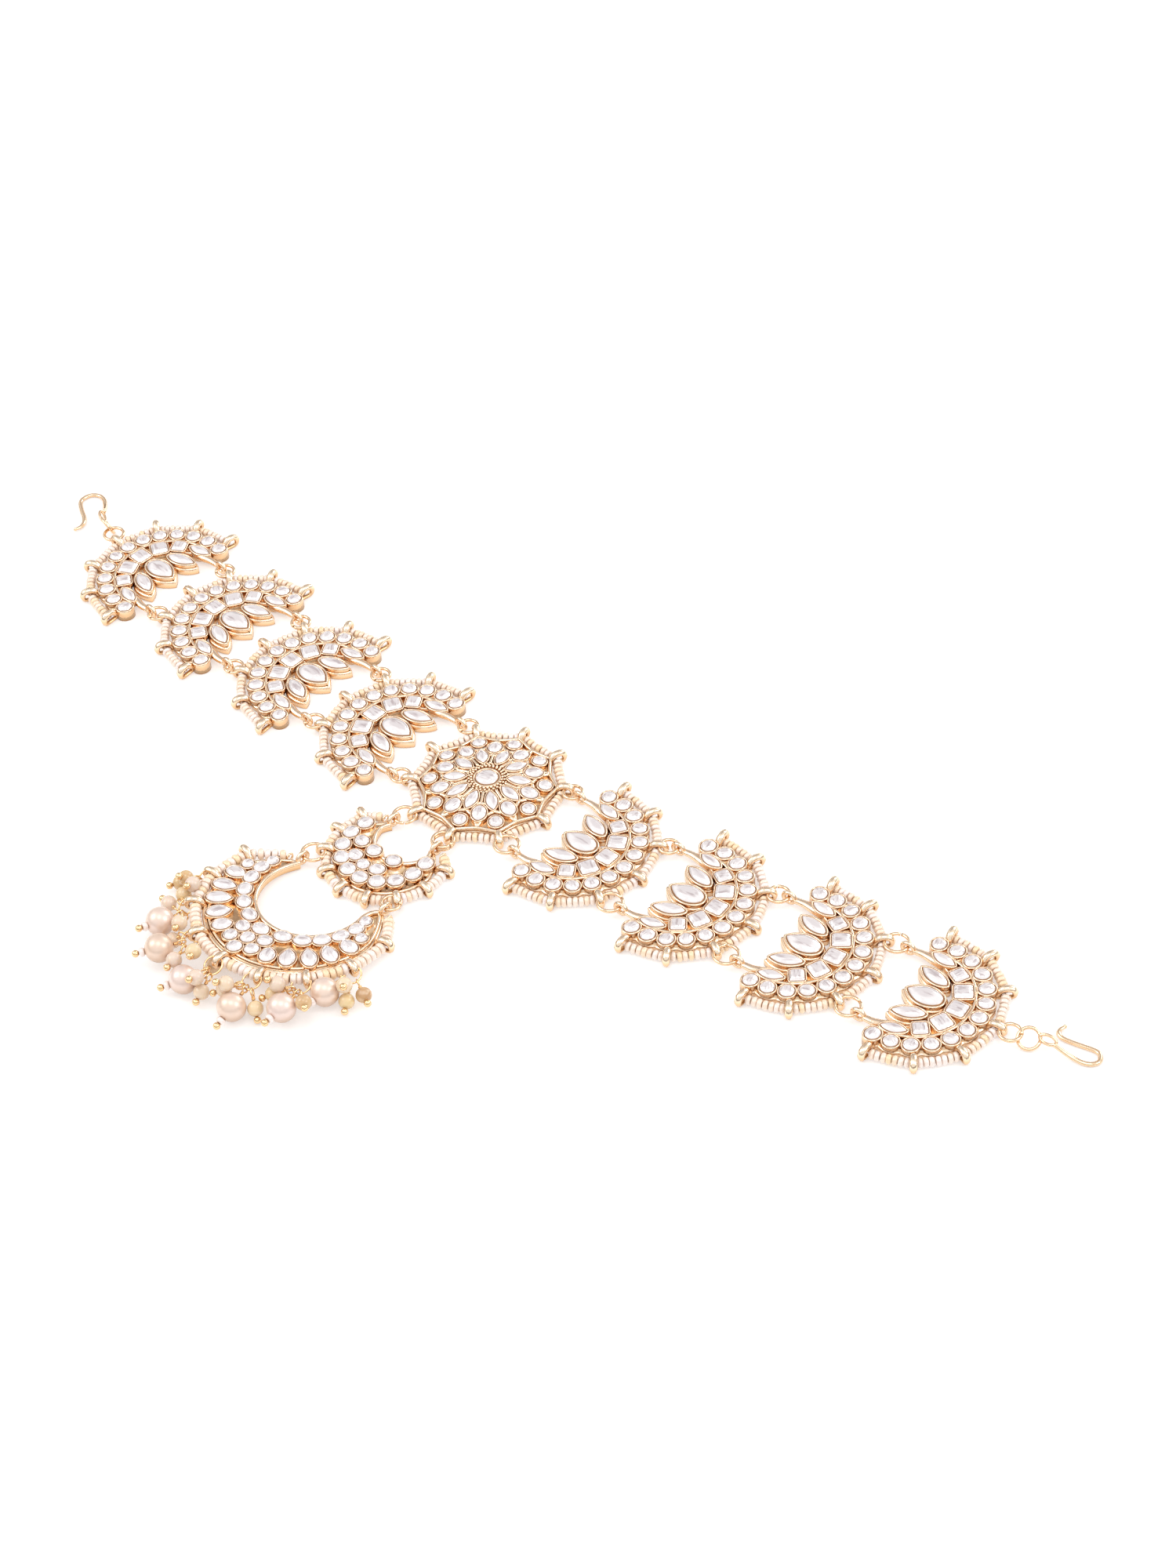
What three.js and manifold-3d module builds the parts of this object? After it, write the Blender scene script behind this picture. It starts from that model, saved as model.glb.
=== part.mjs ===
// Head chain (matha patti): a domed star medallion, two arms of four crescent castings, and a
// pendant of two more crescents with bead drops, all linked by jump rings, with a hook at each end.
// Millimetres, +Z up. The origin is the centre of the medallion's flat back. The arms run along X,
// the pendant points towards -Y, and the whole chain lies face up on the plane z = 0.
import * as THREE from 'three';
import * as BufferGeometryUtils from 'three/addons/utils/BufferGeometryUtils.js';
import Module from 'manifold-3d';

const wasm = await Module();
wasm.setup();

// The driving dimensions.
const PLATE = { back: 0, web: 1.4, paved: 2.3, bezel: 2.8 }; // levels of every casting

// A post is an upright eye at a casting's edge. Its hole takes the bead thread and a jump ring.
const POST = {
  thick: 0.8, wall: 0.55, round: 0.65, holeHalf: 1.07, holeLow: 0.55, holeHigh: 2.85, root: 1.2,
};
// A horn's eye stands at its tip; the horn's arm sinks into it and bows outwards on the way.
const HORN_EYE = { low: 0.4, high: 3.5, round: 0.6, holeLow: 1.2, holeHigh: 2.8, sink: 1.5 };
const HORN_ARM = { startZ: 1.1, tipZ: 1.6, bowAt: 0.55, bow: 0.45, sides: 5 };

const BEAD = { radius: 0.95, z: 0.9, inset: 0.4, thread: 0.18, free: 0.7, start: 1.15, sides: 5 };
const FLATNESS = 0.02; // how far a face may be from its neighbour's plane and still be joined to it
const RING = { radius: 2.2, least: 2.0, most: 2.55, wire: 0.28, z: 2.3, sides: 10 };
const RING_SECTION = 4;
const HOOK = {
  wire: 0.36, eyeLong: 1.75, eyeWide: 0.85, eyeRoll: 55, eyeZ: 2.25, fall: -1.75,
  low: -0.8, legStart: 1.2, legFall: 0.6, bendSteps: 4, sides: 6,
};
// How a hook's tip turns back out from the end of its bend: [along, beyond the bend's top].
const HOOK_TIP = [[2.2, 0], [0.6, 0.5], [0.1, 1.2]];
const FLICK_RISE = 2.5;
// How each end lies: the flat ring's centre, the rolled ring beyond it, and the hook's eye.
const ENDS = [
  {
    side: 'right', ringX: 125.2, ringY: 17.8, lead: 25.6, spacing: 3.65, roll: 50, rolledZ: 2.3,
    eyeX: 131.7, eyeY: 21.1, heading: 12, leg: 8.4, width: 4.2, flick: 0.6,
  },
  {
    side: 'left', ringX: -123.0, ringY: 1.25, lead: 163, spacing: 3.65, roll: 65, rolledZ: 2.4,
    eyeX: -129.95, eyeY: 3.6, heading: 146, leg: 8.1, width: 5.3, flick: -1.1,
  },
];

const MEDALLION = {
  tips: 10, tipRadius: 15.0, flank: 13.6, valleyRadius: 13.0, postRadius: 16.6,
  tiers: [{ radius: 11.9, top: 2.9 }, { radius: 8.5, top: 3.5 }, { radius: 3.5, top: 4.0 }],
  tierSlope: 0.5, webInset: 0.8,
};

const CRESCENT = {
  edgeRadius: 15.3, scallop: 0.35, stones: 13, stoneStep: 16.5, endAngle: 107, endRadius: 13.2,
  throatRadius: 6.9, throatGrow: 2.2, postRadius: 17.8, postStep: 31.6, posts: 3,
  hornX: 10.1, hornY: 7.15, hornRoot: [9.6, 0.4], hornWidth: [1.9, 1.0],
  pavedInset: 0.7, throatShort: 2, throatSteps: 4, endPerInset: 3,
};
// Half of a petal's outline, as [along, across]: round at the foot, drawn to a point at the tip.
const PETAL_HALF = [[-0.5, 0], [-0.4, 0.26], [-0.16, 0.47], [0.06, 0.5], [0.28, 0.34], [0.5, 0]];
// Petal-shaped bezels that stand in the throat: centre, length, width, turn from the axis.
const PETALS = [
  { x: 0, y: -2.05, length: 10.7, width: 6.0, turn: 0 },
  { x: 5.4, y: -1.7, length: 10.0, width: 4.0, turn: -17 },
  { x: -5.4, y: -1.7, length: 10.0, width: 4.0, turn: 17 },
];

// The two pendant crescents: a rim, a hole off its centre, and a horn either side of the opening.
const LUNE = {
  rimSteps: 11, holeSteps: 7, pavedInset: 0.9, rimPerInset: 6, hornDrop: 1.2, hornPerInset: 3,
  hornOut: 0.65, hornIn: 0.45, holeShort: 1.6,
};
const SMALL = {
  rimRadius: 11.2, rimY: 0, holeRadius: 6.7, holeY: 5.6, rimEnd: 104,
  horns: [[-6.4, 7.6], [6.4, 7.6]], postRadius: 13.3, postStep: 27.3, posts: 4,
  stringEnds: [[-8.6, 7.2], [8.6, 7.2]],
};
const LARGE = {
  rimRadius: 18.9, rimY: -1.2, holeRadius: 11.4, holeY: 3.3, rimEnd: 106,
  horns: [[-10.6, 10.4], [13.0, 10.8]], postRadius: 21.0, postStep: 25.8, posts: 4,
  stringEnds: [[-13.4, 9.4], [15.0, 9.8]],
};

// Where each casting's arc centre lies, and the way its outer edge faces, in degrees from +X.
const ARM_PLACES = [
  { name: 'crescent_right_1', x: 25.1, y: 0.1, facing: 3.3 },
  { name: 'crescent_right_2', x: 51.6, y: 3.5, facing: 8.7 },
  { name: 'crescent_right_3', x: 78.2, y: 8.5, facing: 11.7 },
  { name: 'crescent_right_4', x: 105.1, y: 13.7, facing: 12.3 },
  { name: 'crescent_left_1', x: -24.5, y: -1.0, facing: 180.8 },
  { name: 'crescent_left_2', x: -50.7, y: -1.3, facing: 180 },
  { name: 'crescent_left_3', x: -76.8, y: -0.7, facing: 179.3 },
  { name: 'crescent_left_4', x: -103.0, y: -0.2, facing: 178.5 },
];
const SMALL_PLACE = { x: -0.6, y: -27.8, facing: -90, tilt: 0, hinge: 0 };
// The large crescent leans on its drops: it is raised about a line through its horns.
const LARGE_PLACE = { x: -2.0, y: -50.5, facing: -88.2, tilt: 6, hinge: 10.8 };

// Drops, in degrees: how far each ring and pin swings from the way its post faces, how far a
// ring falls or a pin rises from level, and where on the ring a pin hangs.
const DROP = {
  ring: 2.0, ringWire: 0.25, ringZ: 2.45, eye: 0.85, eyeWire: 0.2, pull: 0.6, pearl: 3.0, bead: 1.65,
  ball: 0.8, beadSides: 6, pearlSides: 8, eyeSection: 3, eyeSides: 7,
};
const STEM = { radius: 0.4, long: 0.75, seat: 0.95, leave: 0.93, bands: [-55, -20, 20, 55] };
const SPACER = { radius: 1.0, bevel: 0.15, full: 1.0, long: 1.2 };
const DROP_PLACES = [
  {
    post: -3, ring: 18, fall: 41, pearl: null,
    pins: [
      { at: 23, turn: 74, rise: 47 },
      { at: -6, turn: 50, rise: 2 },
      { at: 98, turn: 92, rise: 33 },
    ],
  },
  {
    post: -2, ring: 24, fall: 36, pearl: { at: 16, turn: 38, rise: 10 },
    pins: [
      { at: -60, turn: -88, rise: -16 },
      { at: -10, turn: -46, rise: -8 },
      { at: 69, turn: 80, rise: 20 },
    ],
  },
  {
    post: -1, ring: 39, fall: 17, pearl: { at: -47, turn: -8, rise: -3 },
    pins: [
      { at: 82, turn: 59, rise: 22 },
      { at: -3, turn: 36, rise: -2 },
      { at: -101, turn: -42, rise: -43 },
    ],
  },
  {
    post: 0, ring: -1, fall: 26, pearl: { at: -19, turn: -34, rise: -12 },
    pins: [
      { at: 4, turn: 9, rise: 31 },
      { at: 26, turn: 11, rise: -26 },
      { at: -36, turn: -165, rise: -35 },
    ],
  },
  {
    post: 1, ring: -32, fall: 18, pearl: { at: 11, turn: -21, rise: -17 },
    pins: [
      { at: -14, turn: -53, rise: 33 },
      { at: 50, turn: 29, rise: -37 },
      { at: -37, turn: -65, rise: -15 },
    ],
  },
  {
    post: 2, ring: -42, fall: 17, pearl: { at: 11, turn: -48, rise: -1 },
    pins: [
      { at: 38, turn: 2, rise: 19 },
      { at: -14, turn: -97, rise: 40 },
      { at: -45, turn: -88, rise: -13 },
    ],
  },
  {
    post: 3, ring: -38, fall: 18, pearl: { at: -60, turn: -80, rise: -1 },
    pins: [
      { at: -28, turn: -33, rise: 39 },
      { at: -3, turn: -44, rise: -17 },
      { at: 41, turn: -13, rise: -3 },
    ],
  },
];

const gold = new THREE.MeshStandardMaterial({ color: 0xe8c384, roughness: 0.28, metalness: 1 });
const seedBead = new THREE.MeshStandardMaterial({ color: 0xf1dcc0, roughness: 0.4, metalness: 0 });
const pearl = new THREE.MeshStandardMaterial({ color: 0xf2e2cc, roughness: 0.22, metalness: 0 });
const roundBead = new THREE.MeshStandardMaterial({ color: 0xe6cfa4, roughness: 0.3, metalness: 0 });

const radians = THREE.MathUtils.degToRad;

// A point at an angle from the outward way (-Y), turning towards +X.
function outward(radius, degrees, centreY = 0) {
  const a = radians(degrees);
  return new THREE.Vector2(radius * Math.sin(a), centreY - radius * Math.cos(a));
}

function solid(geometry) {
  const bare = geometry.index ? geometry.toNonIndexed() : geometry.clone();
  bare.deleteAttribute('normal');
  bare.deleteAttribute('uv');
  const merged = BufferGeometryUtils.mergeVertices(bare, 1e-4);
  return new wasm.Manifold(new wasm.Mesh({
    numProp: 3,
    vertProperties: new Float32Array(merged.attributes.position.array),
    triVerts: new Uint32Array(merged.index.array),
  }));
}

// One body out of several, with faces that lie in one plane made into one.
function join(pieces) {
  return pieces.map(solid).reduce((a, b) => a.add(b)).asOriginal().simplify(FLATNESS);
}

function meshOf(name, piece, material) {
  const made = (piece.isBufferGeometry ? solid(piece) : piece).getMesh();
  const geometry = new THREE.BufferGeometry();
  geometry.setAttribute('position', new THREE.BufferAttribute(new Float32Array(made.vertProperties), 3));
  geometry.setIndex(new THREE.BufferAttribute(new Uint32Array(made.triVerts), 1));
  geometry.computeVertexNormals();
  const mesh = new THREE.Mesh(geometry, material);
  mesh.name = name;
  return mesh;
}

// A flat piece of the given outline between two levels.
function slab(outline, low, high) {
  const shape = new THREE.Shape(outline);
  return new THREE.ExtrudeGeometry(shape, { depth: high - low, bevelEnabled: false }).translate(0, 0, low);
}

// A closed surface through rings of equally many points, with both ends capped unless it loops.
function loft(rings, loops = false) {
  const sides = rings[0].length;
  const positions = rings.flat().flatMap((p) => [p.x, p.y, p.z]);
  const index = [];
  const last = loops ? rings.length : rings.length - 1;
  for (let i = 0; i < last; i++) {
    const here = i * sides;
    const next = ((i + 1) % rings.length) * sides;
    for (let j = 0; j < sides; j++) {
      const k = (j + 1) % sides;
      index.push(here + j, here + k, next + k, here + j, next + k, next + j);
    }
  }
  if (!loops) {
    const end = (rings.length - 1) * sides;
    for (let j = 1; j < sides - 1; j++) index.push(0, j + 1, j, end, end + j, end + j + 1);
  }
  const geometry = new THREE.BufferGeometry();
  geometry.setAttribute('position', new THREE.Float32BufferAttribute(positions, 3));
  geometry.setIndex(index);
  return geometry;
}

// A round section about a point, square to the way the wire runs.
function section(centre, along, radius, sides) {
  const up = Math.abs(along.z) > 0.9 ? new THREE.Vector3(1, 0, 0) : new THREE.Vector3(0, 0, 1);
  const across = new THREE.Vector3().crossVectors(along, up).normalize();
  const other = new THREE.Vector3().crossVectors(along, across).normalize();
  return Array.from({ length: sides }, (_, j) => {
    const a = (2 * Math.PI * j) / sides;
    const out = across.clone().multiplyScalar(Math.cos(a)).addScaledVector(other, Math.sin(a));
    return centre.clone().addScaledVector(out, radius);
  });
}

// A wire of changing thickness through points, each { at, radius }.
function wire(stations, sides = 6) {
  const rings = stations.map((s, i) => {
    const before = stations[Math.max(i - 1, 0)].at;
    const after = stations[Math.min(i + 1, stations.length - 1)].at;
    return section(s.at, after.clone().sub(before).normalize(), s.radius, sides);
  });
  return loft(rings);
}

// An upright eye whose hole runs along local Y turned to face away from the casting.
function postEye(place, faceDegrees, thick = POST.thick) {
  const reach = POST.holeHalf + POST.wall;
  const top = POST.holeHigh + POST.wall;
  const shape = new THREE.Shape([
    new THREE.Vector2(-reach - POST.root, PLATE.back), new THREE.Vector2(reach, PLATE.back),
    new THREE.Vector2(reach, top - POST.round), new THREE.Vector2(reach - POST.round, top),
    new THREE.Vector2(-reach + POST.round, top), new THREE.Vector2(-reach - POST.root, PLATE.paved),
  ]);
  const hole = new THREE.Path([
    new THREE.Vector2(-POST.holeHalf, POST.holeLow), new THREE.Vector2(-POST.holeHalf, POST.holeHigh),
    new THREE.Vector2(POST.holeHalf, POST.holeHigh), new THREE.Vector2(POST.holeHalf, POST.holeLow),
  ]);
  shape.holes.push(hole);
  return new THREE.ExtrudeGeometry(shape, { depth: thick, bevelEnabled: false })
    .translate(0, 0, -thick / 2).rotateX(Math.PI / 2)
    .rotateZ(radians(faceDegrees)).translate(place.x, place.y, 0);
}

// The posts of a curved edge: { place, face }, evenly spaced either side of the outward way.
function edgePosts({ posts, postStep, postRadius, rimY = 0 }) {
  return Array.from({ length: 2 * posts + 1 }, (_, i) => {
    const degrees = (i - posts) * postStep;
    return { place: outward(postRadius, degrees, rimY), face: degrees - 90 };
  });
}

// Beads threaded through a row of posts: one solid, thick along the beads and thin in each eye.
function beadString(posts, loops = false, ends = []) {
  const stops = posts.map(({ place, face }) => new THREE.Vector3(
    place.x - BEAD.inset * Math.cos(radians(face)), place.y - BEAD.inset * Math.sin(radians(face)), BEAD.z));
  const [first, last] = ends.map(([x, y]) => new THREE.Vector3(x, y, BEAD.z));
  if (first) stops.splice(0, 0, first);
  if (last) stops.push(last);
  const stations = [];
  const spans = loops ? stops.length : stops.length - 1;
  for (let i = 0; i < spans; i++) {
    const from = stops[i];
    const to = stops[(i + 1) % stops.length];
    const way = to.clone().sub(from).normalize();
    const length = from.distanceTo(to);
    const marks = [
      [BEAD.free, BEAD.thread], [BEAD.start, BEAD.radius],
      [length - BEAD.start, BEAD.radius], [length - BEAD.free, BEAD.thread],
    ];
    if (!loops && i === 0) marks[0][0] = -BEAD.free;
    if (!loops && i === spans - 1) marks[3][0] = length + BEAD.free;
    if (!loops && i === 0) marks.splice(1, 0, [BEAD.free, BEAD.thread]);
    if (!loops && i === spans - 1) marks.splice(marks.length - 1, 0, [length - BEAD.free, BEAD.thread]);
    for (const [distance, radius] of marks) {
      stations.push(section(from.clone().addScaledVector(way, distance), way, radius, BEAD.sides));
    }
  }
  return loft(stations, loops);
}

function medallionSolid() {
  const star = (radii) => Array.from({ length: radii.length * MEDALLION.tips }, (_, i) => {
    const radius = radii[i % radii.length];
    const a = (2 * Math.PI * i) / (radii.length * MEDALLION.tips);
    return new THREE.Vector2(radius * Math.cos(a), radius * Math.sin(a));
  });
  const { tipRadius, valleyRadius, flank, tiers, tierSlope, webInset: inset } = MEDALLION;
  const disc = ({ radius, top }, count) => (
    new THREE.CylinderGeometry(radius - tierSlope, radius, top, count)
      .rotateX(Math.PI / 2).translate(0, 0, top / 2));
  return join([
    slab(star([tipRadius, flank, valleyRadius, flank]), PLATE.back, PLATE.web),
    slab(star([tipRadius - inset, valleyRadius - inset]), PLATE.back, PLATE.paved),
    ...tiers.map((tier) => disc(tier, 2 * MEDALLION.tips)),
    ...medallionPosts().map(({ place, face }) => postEye(place, face)),
  ]);
}

function medallionPosts() {
  return Array.from({ length: MEDALLION.tips }, (_, k) => {
    const face = 180 - (360 / MEDALLION.tips) * k;
    const a = radians(face);
    const place = new THREE.Vector2(Math.cos(a), Math.sin(a)).multiplyScalar(MEDALLION.postRadius);
    return { place, face };
  });
}

// The band of an arm crescent: scalloped outside round its stones, plain in the throat.
function crescentBand(shrink, scallop) {
  const { edgeRadius, stones, stoneStep, endAngle, endRadius } = CRESCENT;
  const { throatRadius, throatGrow, throatShort, throatSteps, endPerInset } = CRESCENT;
  const points = [];
  const perStone = scallop ? 2 : 1;
  const last = ((stones - 1) / 2) * perStone;
  for (let i = -last; i <= last; i++) {
    const bump = i % 2 === 0 ? scallop : -scallop;
    points.push(outward(edgeRadius + bump - shrink, (i * stoneStep) / perStone));
  }
  const end = endAngle - shrink * endPerInset;
  points.push(outward(endRadius, end));
  for (let i = throatSteps; i >= -throatSteps; i--) {
    const degrees = (i * (end - throatShort)) / throatSteps;
    const grow = throatGrow * Math.min(1, Math.abs(degrees) / 90) ** 2;
    points.push(outward(throatRadius + grow + shrink, degrees));
  }
  points.push(outward(endRadius, -end));
  return points;
}

function petal({ x, y, length, width, turn }) {
  const half = PETAL_HALF.map(([along, across]) => new THREE.Vector2(across * width, along * length));
  const other = half.slice(1, -1).reverse().map((p) => new THREE.Vector2(-p.x, p.y));
  const place = new THREE.Vector2(x, y);
  return [...half, ...other].map((p) => p.rotateAround(new THREE.Vector2(), radians(turn)).add(place));
}

// An arm from the casting to an upright eye that a jump ring passes through.
function horn(side, { hornX, hornY, hornRoot: root, hornWidth: width }) {
  const { startZ, tipZ, bowAt, bow, sides } = HORN_ARM;
  const tip = new THREE.Vector3(side * hornX, hornY - HORN_EYE.sink, tipZ);
  const start = new THREE.Vector3(side * root[0], root[1], startZ);
  const middle = start.clone().lerp(tip, bowAt).add(new THREE.Vector3(side * bow, 0, 0));
  const arm = wire([
    { at: start, radius: width[0] / 2 },
    { at: middle, radius: (width[0] + width[1]) / 4 },
    { at: tip, radius: width[1] / 2 },
  ], sides);
  return [arm, hornEye(side * hornX, hornY)];
}

function hornEye(x, y) {
  const reach = POST.holeHalf + POST.wall;
  const { low, high, round, holeLow, holeHigh } = HORN_EYE;
  const shape = new THREE.Shape([
    new THREE.Vector2(-reach, low), new THREE.Vector2(reach, low),
    new THREE.Vector2(reach, high - round), new THREE.Vector2(reach - round, high),
    new THREE.Vector2(-reach + round, high), new THREE.Vector2(-reach, high - round),
  ]);
  shape.holes.push(new THREE.Path([
    new THREE.Vector2(-POST.holeHalf, holeLow), new THREE.Vector2(-POST.holeHalf, holeHigh),
    new THREE.Vector2(POST.holeHalf, holeHigh), new THREE.Vector2(POST.holeHalf, holeLow),
  ]));
  return new THREE.ExtrudeGeometry(shape, { depth: POST.thick, bevelEnabled: false })
    .translate(0, 0, -POST.thick / 2).rotateX(Math.PI / 2)
    .rotateZ(Math.PI / 2).translate(x, y, 0);
}

function crescentSolid() {
  return join([
    slab(crescentBand(0, CRESCENT.scallop), PLATE.back, PLATE.web),
    slab(crescentBand(CRESCENT.pavedInset, 0), PLATE.back, PLATE.paved),
    ...PETALS.map((p) => slab(petal(p), PLATE.back, PLATE.bezel)),
    ...horn(1, CRESCENT), ...horn(-1, CRESCENT),
    ...edgePosts(CRESCENT).map(({ place, face }) => postEye(place, face)),
  ]);
}

// The outline of a pendant crescent, drawn in all round by the given amount.
function lune({ rimRadius, rimY, holeRadius, holeY, rimEnd, horns }, shrink) {
  const { rimSteps, holeSteps, rimPerInset, hornDrop, hornPerInset, hornOut, hornIn, holeShort } = LUNE;
  const points = [];
  for (let i = -rimSteps; i <= rimSteps; i++) {
    points.push(outward(rimRadius - shrink, (i * (rimEnd - shrink * rimPerInset)) / rimSteps, rimY));
  }
  const [left, right] = horns.map(([x, y]) => new THREE.Vector2(x, y - hornDrop - shrink * hornPerInset));
  const holeTurn = Math.min(holeRadius, right.y - holeShort - holeY);
  const holeEnd = 90 + THREE.MathUtils.radToDeg(Math.asin(holeTurn / holeRadius));
  points.push(new THREE.Vector2(right.x + hornOut, right.y), new THREE.Vector2(right.x - hornIn, right.y));
  for (let i = holeSteps; i >= -holeSteps; i--) {
    points.push(outward(holeRadius + shrink, (i * holeEnd) / holeSteps, holeY));
  }
  points.push(new THREE.Vector2(left.x + hornIn, left.y), new THREE.Vector2(left.x - hornOut, left.y));
  return points;
}

function luneSolid(size) {
  const hornEyes = size.horns.map(([x, y]) => hornEye(x, y));
  return join([
    slab(lune(size, 0), PLATE.back, PLATE.web),
    slab(lune(size, LUNE.pavedInset), PLATE.back, PLATE.paved),
    ...hornEyes,
    ...edgePosts(size).map(({ place, face }) => postEye(place, face)),
  ]);
}

// The matrix that puts a casting made facing -Y where it lies.
function placing({ x, y, facing, tilt = 0, hinge = 0 }) {
  const turn = new THREE.Matrix4().makeRotationZ(radians(facing + 90));
  const lift = new THREE.Matrix4().makeTranslation(0, hinge, 0)
    .multiply(new THREE.Matrix4().makeRotationX(-radians(tilt)))
    .multiply(new THREE.Matrix4().makeTranslation(0, -hinge, 0));
  return new THREE.Matrix4().makeTranslation(x, y, 0).multiply(turn).multiply(lift);
}

function eyeAt(place, point, z = RING.z) {
  return new THREE.Vector3(point.x, point.y, z).applyMatrix4(placing(place));
}

// A ring whose flats, and not its corners, lie where it crosses X.
function wireRing(radius, thick) {
  const half = Math.PI / RING.sides;
  return new THREE.TorusGeometry(radius / Math.cos(half), thick, RING_SECTION, RING.sides).rotateZ(half);
}

// A jump ring through two eyes, lying flat and as wide as they are apart.
function jumpRing(name, post, hornHole) {
  const radius = THREE.MathUtils.clamp(post.distanceTo(hornHole) / 2, RING.least, RING.most);
  const turn = Math.atan2(hornHole.y - post.y, hornHole.x - post.x);
  const ring = wireRing(radius, RING.wire).rotateZ(turn);
  const mesh = meshOf(name, ring, gold);
  mesh.position.copy(post).add(hornHole).multiplyScalar(0.5);
  return mesh;
}

const group = new THREE.Group();

function addCasting(name, piece, string, place) {
  const casting = meshOf(name, piece, gold);
  const beads = meshOf(`${name}_beads`, string, seedBead);
  const holder = new THREE.Group();
  holder.matrixAutoUpdate = false;
  holder.matrix.copy(placing(place));
  holder.add(casting, beads);
  group.add(holder);
}

const middle = { x: 0, y: 0, facing: -90 };
addCasting('medallion', medallionSolid(), beadString(medallionPosts(), true), middle);
for (const place of ARM_PLACES) {
  addCasting(place.name, crescentSolid(), beadString(edgePosts(CRESCENT)), place);
}
const luneString = (size) => beadString(edgePosts(size), false, size.stringEnds);
addCasting('small_crescent', luneSolid(SMALL), luneString(SMALL), SMALL_PLACE);
addCasting('large_crescent', luneSolid(LARGE), luneString(LARGE), LARGE_PLACE);

const medallionEye = (k) => {
  const { x, y } = medallionPosts()[k].place;
  return new THREE.Vector3(x, y, RING.z);
};
const crescentPost = (place, k) => eyeAt(place, outward(CRESCENT.postRadius, k * CRESCENT.postStep));
const hornHole = (place, [x, y]) => eyeAt(place, { x, y });

// Two rings between neighbours in each arm, named by the side they are on.
for (const side of ['right', 'left']) {
  const chain = ARM_PLACES.filter((place) => place.name.includes(side));
  const first = side === 'right' ? { 1: 4, '-1': 6 } : { 1: 9, '-1': 1 };
  chain.forEach((place, i) => {
    for (const k of [1, -1]) {
      const from = i === 0 ? medallionEye(first[k]) : crescentPost(chain[i - 1], k);
      const edge = (side === 'right') === (k === 1) ? 'upper' : 'lower';
      const to = hornHole(place, [k * CRESCENT.hornX, CRESCENT.hornY]);
      group.add(jumpRing(`ring_${side}_${i + 1}_${edge}`, from, to));
    }
  });
}

// The pendant: the medallion's two lower tips, then the small crescent, then the large one.
for (const [i, name, tip, k] of [[0, 'left', 8, -2], [1, 'right', 7, 2]]) {
  group.add(jumpRing(`ring_pendant_${name}`, medallionEye(tip), hornHole(SMALL_PLACE, SMALL.horns[i])));
  const post = eyeAt(SMALL_PLACE, outward(SMALL.postRadius, k * SMALL.postStep));
  group.add(jumpRing(`ring_large_${name}`, post, hornHole(LARGE_PLACE, LARGE.horns[i])));
}

// The wire of a hook, from its long closed eye along the leg, round the bend and back to the tip.
function hookWire({ leg, width, flick }) {
  const { wire: thick, eyeLong, eyeWide, fall, low, legStart, legFall, bendSteps } = HOOK;
  const high = low + width;
  const points = [[legStart, low * legFall, 0], [leg / 2, low, fall * legFall]];
  for (let i = 0; i <= bendSteps; i++) {
    const a = radians(-90 + (180 * i) / bendSteps);
    points.push([leg + (width / 2) * Math.cos(a), low + (width / 2) * (1 + Math.sin(a)), fall]);
  }
  for (const [x, beyond] of [...HOOK_TIP, [flick, FLICK_RISE]]) points.push([x, high + beyond, fall]);
  const closed = new THREE.TorusGeometry(1, thick / eyeWide, 5, 10).scale(eyeLong, eyeWide, 1)
    .rotateX(radians(HOOK.eyeRoll));
  return [wire(points.map((p) => ({ at: new THREE.Vector3(...p), radius: thick })), HOOK.sides), closed];
}

// A flat ring through the end post, then a ring rolled over that is soldered to the hook's eye.
for (const end of ENDS) {
  const flat = new THREE.Vector3(end.ringX, end.ringY, RING.z);
  const way = new THREE.Vector3(Math.cos(radians(end.lead)), Math.sin(radians(end.lead)), 0);
  const rolled = flat.clone().addScaledVector(way, end.spacing);
  const ring = wireRing(RING.radius, RING.wire);
  group.add(meshOf(`ring_${end.side}_end`, ring.clone().translate(...flat.toArray()), gold));
  const turned = ring.clone().rotateX(radians(end.roll)).rotateZ(radians(end.lead));
  const pieces = [turned.translate(rolled.x, rolled.y, end.rolledZ)];
  for (const piece of hookWire(end)) {
    pieces.push(piece.rotateZ(radians(end.heading)).translate(end.eyeX, end.eyeY, HOOK.eyeZ));
  }
  group.add(meshOf(`hook_${end.side}`, join(pieces), gold));
}

const wayOf = (heading, rise) => new THREE.Vector3(
  Math.cos(radians(heading)) * Math.cos(radians(rise)),
  Math.sin(radians(heading)) * Math.cos(radians(rise)), Math.sin(radians(rise)));

// Turns a piece made along +Z so that it points along a way, with its eye's hole as given.
function aim(geometry, at, way, holeWay) {
  const side = holeWay.clone().addScaledVector(way, -holeWay.dot(way)).normalize();
  const basis = new THREE.Matrix4().makeBasis(side, new THREE.Vector3().crossVectors(way, side), way);
  return geometry.applyMatrix4(basis.setPosition(at));
}

// A round piece threaded on a head pin: wrapped stem, bead, and a ball at the end.
function pinProfile(radius, spacer) {
  const { eye, ball } = DROP;
  const centre = eye + STEM.long + radius;
  const points = [[0, eye - 0.05], [STEM.radius, eye], [STEM.radius, centre - radius * STEM.seat]];
  for (const a of STEM.bands) {
    points.push([radius * Math.cos(radians(a)), centre + radius * Math.sin(radians(a))]);
  }
  let end = centre + radius * STEM.leave;
  if (spacer) {
    points.push([STEM.radius, end], [SPACER.radius, end + SPACER.bevel]);
    points.push([SPACER.radius, end + SPACER.full], [STEM.radius, end + SPACER.long]);
    end += SPACER.long;
  }
  points.push([ball / 2, end], [ball, end + ball], [0, end + ball * 1.9]);
  return points.map(([r, z]) => new THREE.Vector2(r, z));
}

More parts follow.
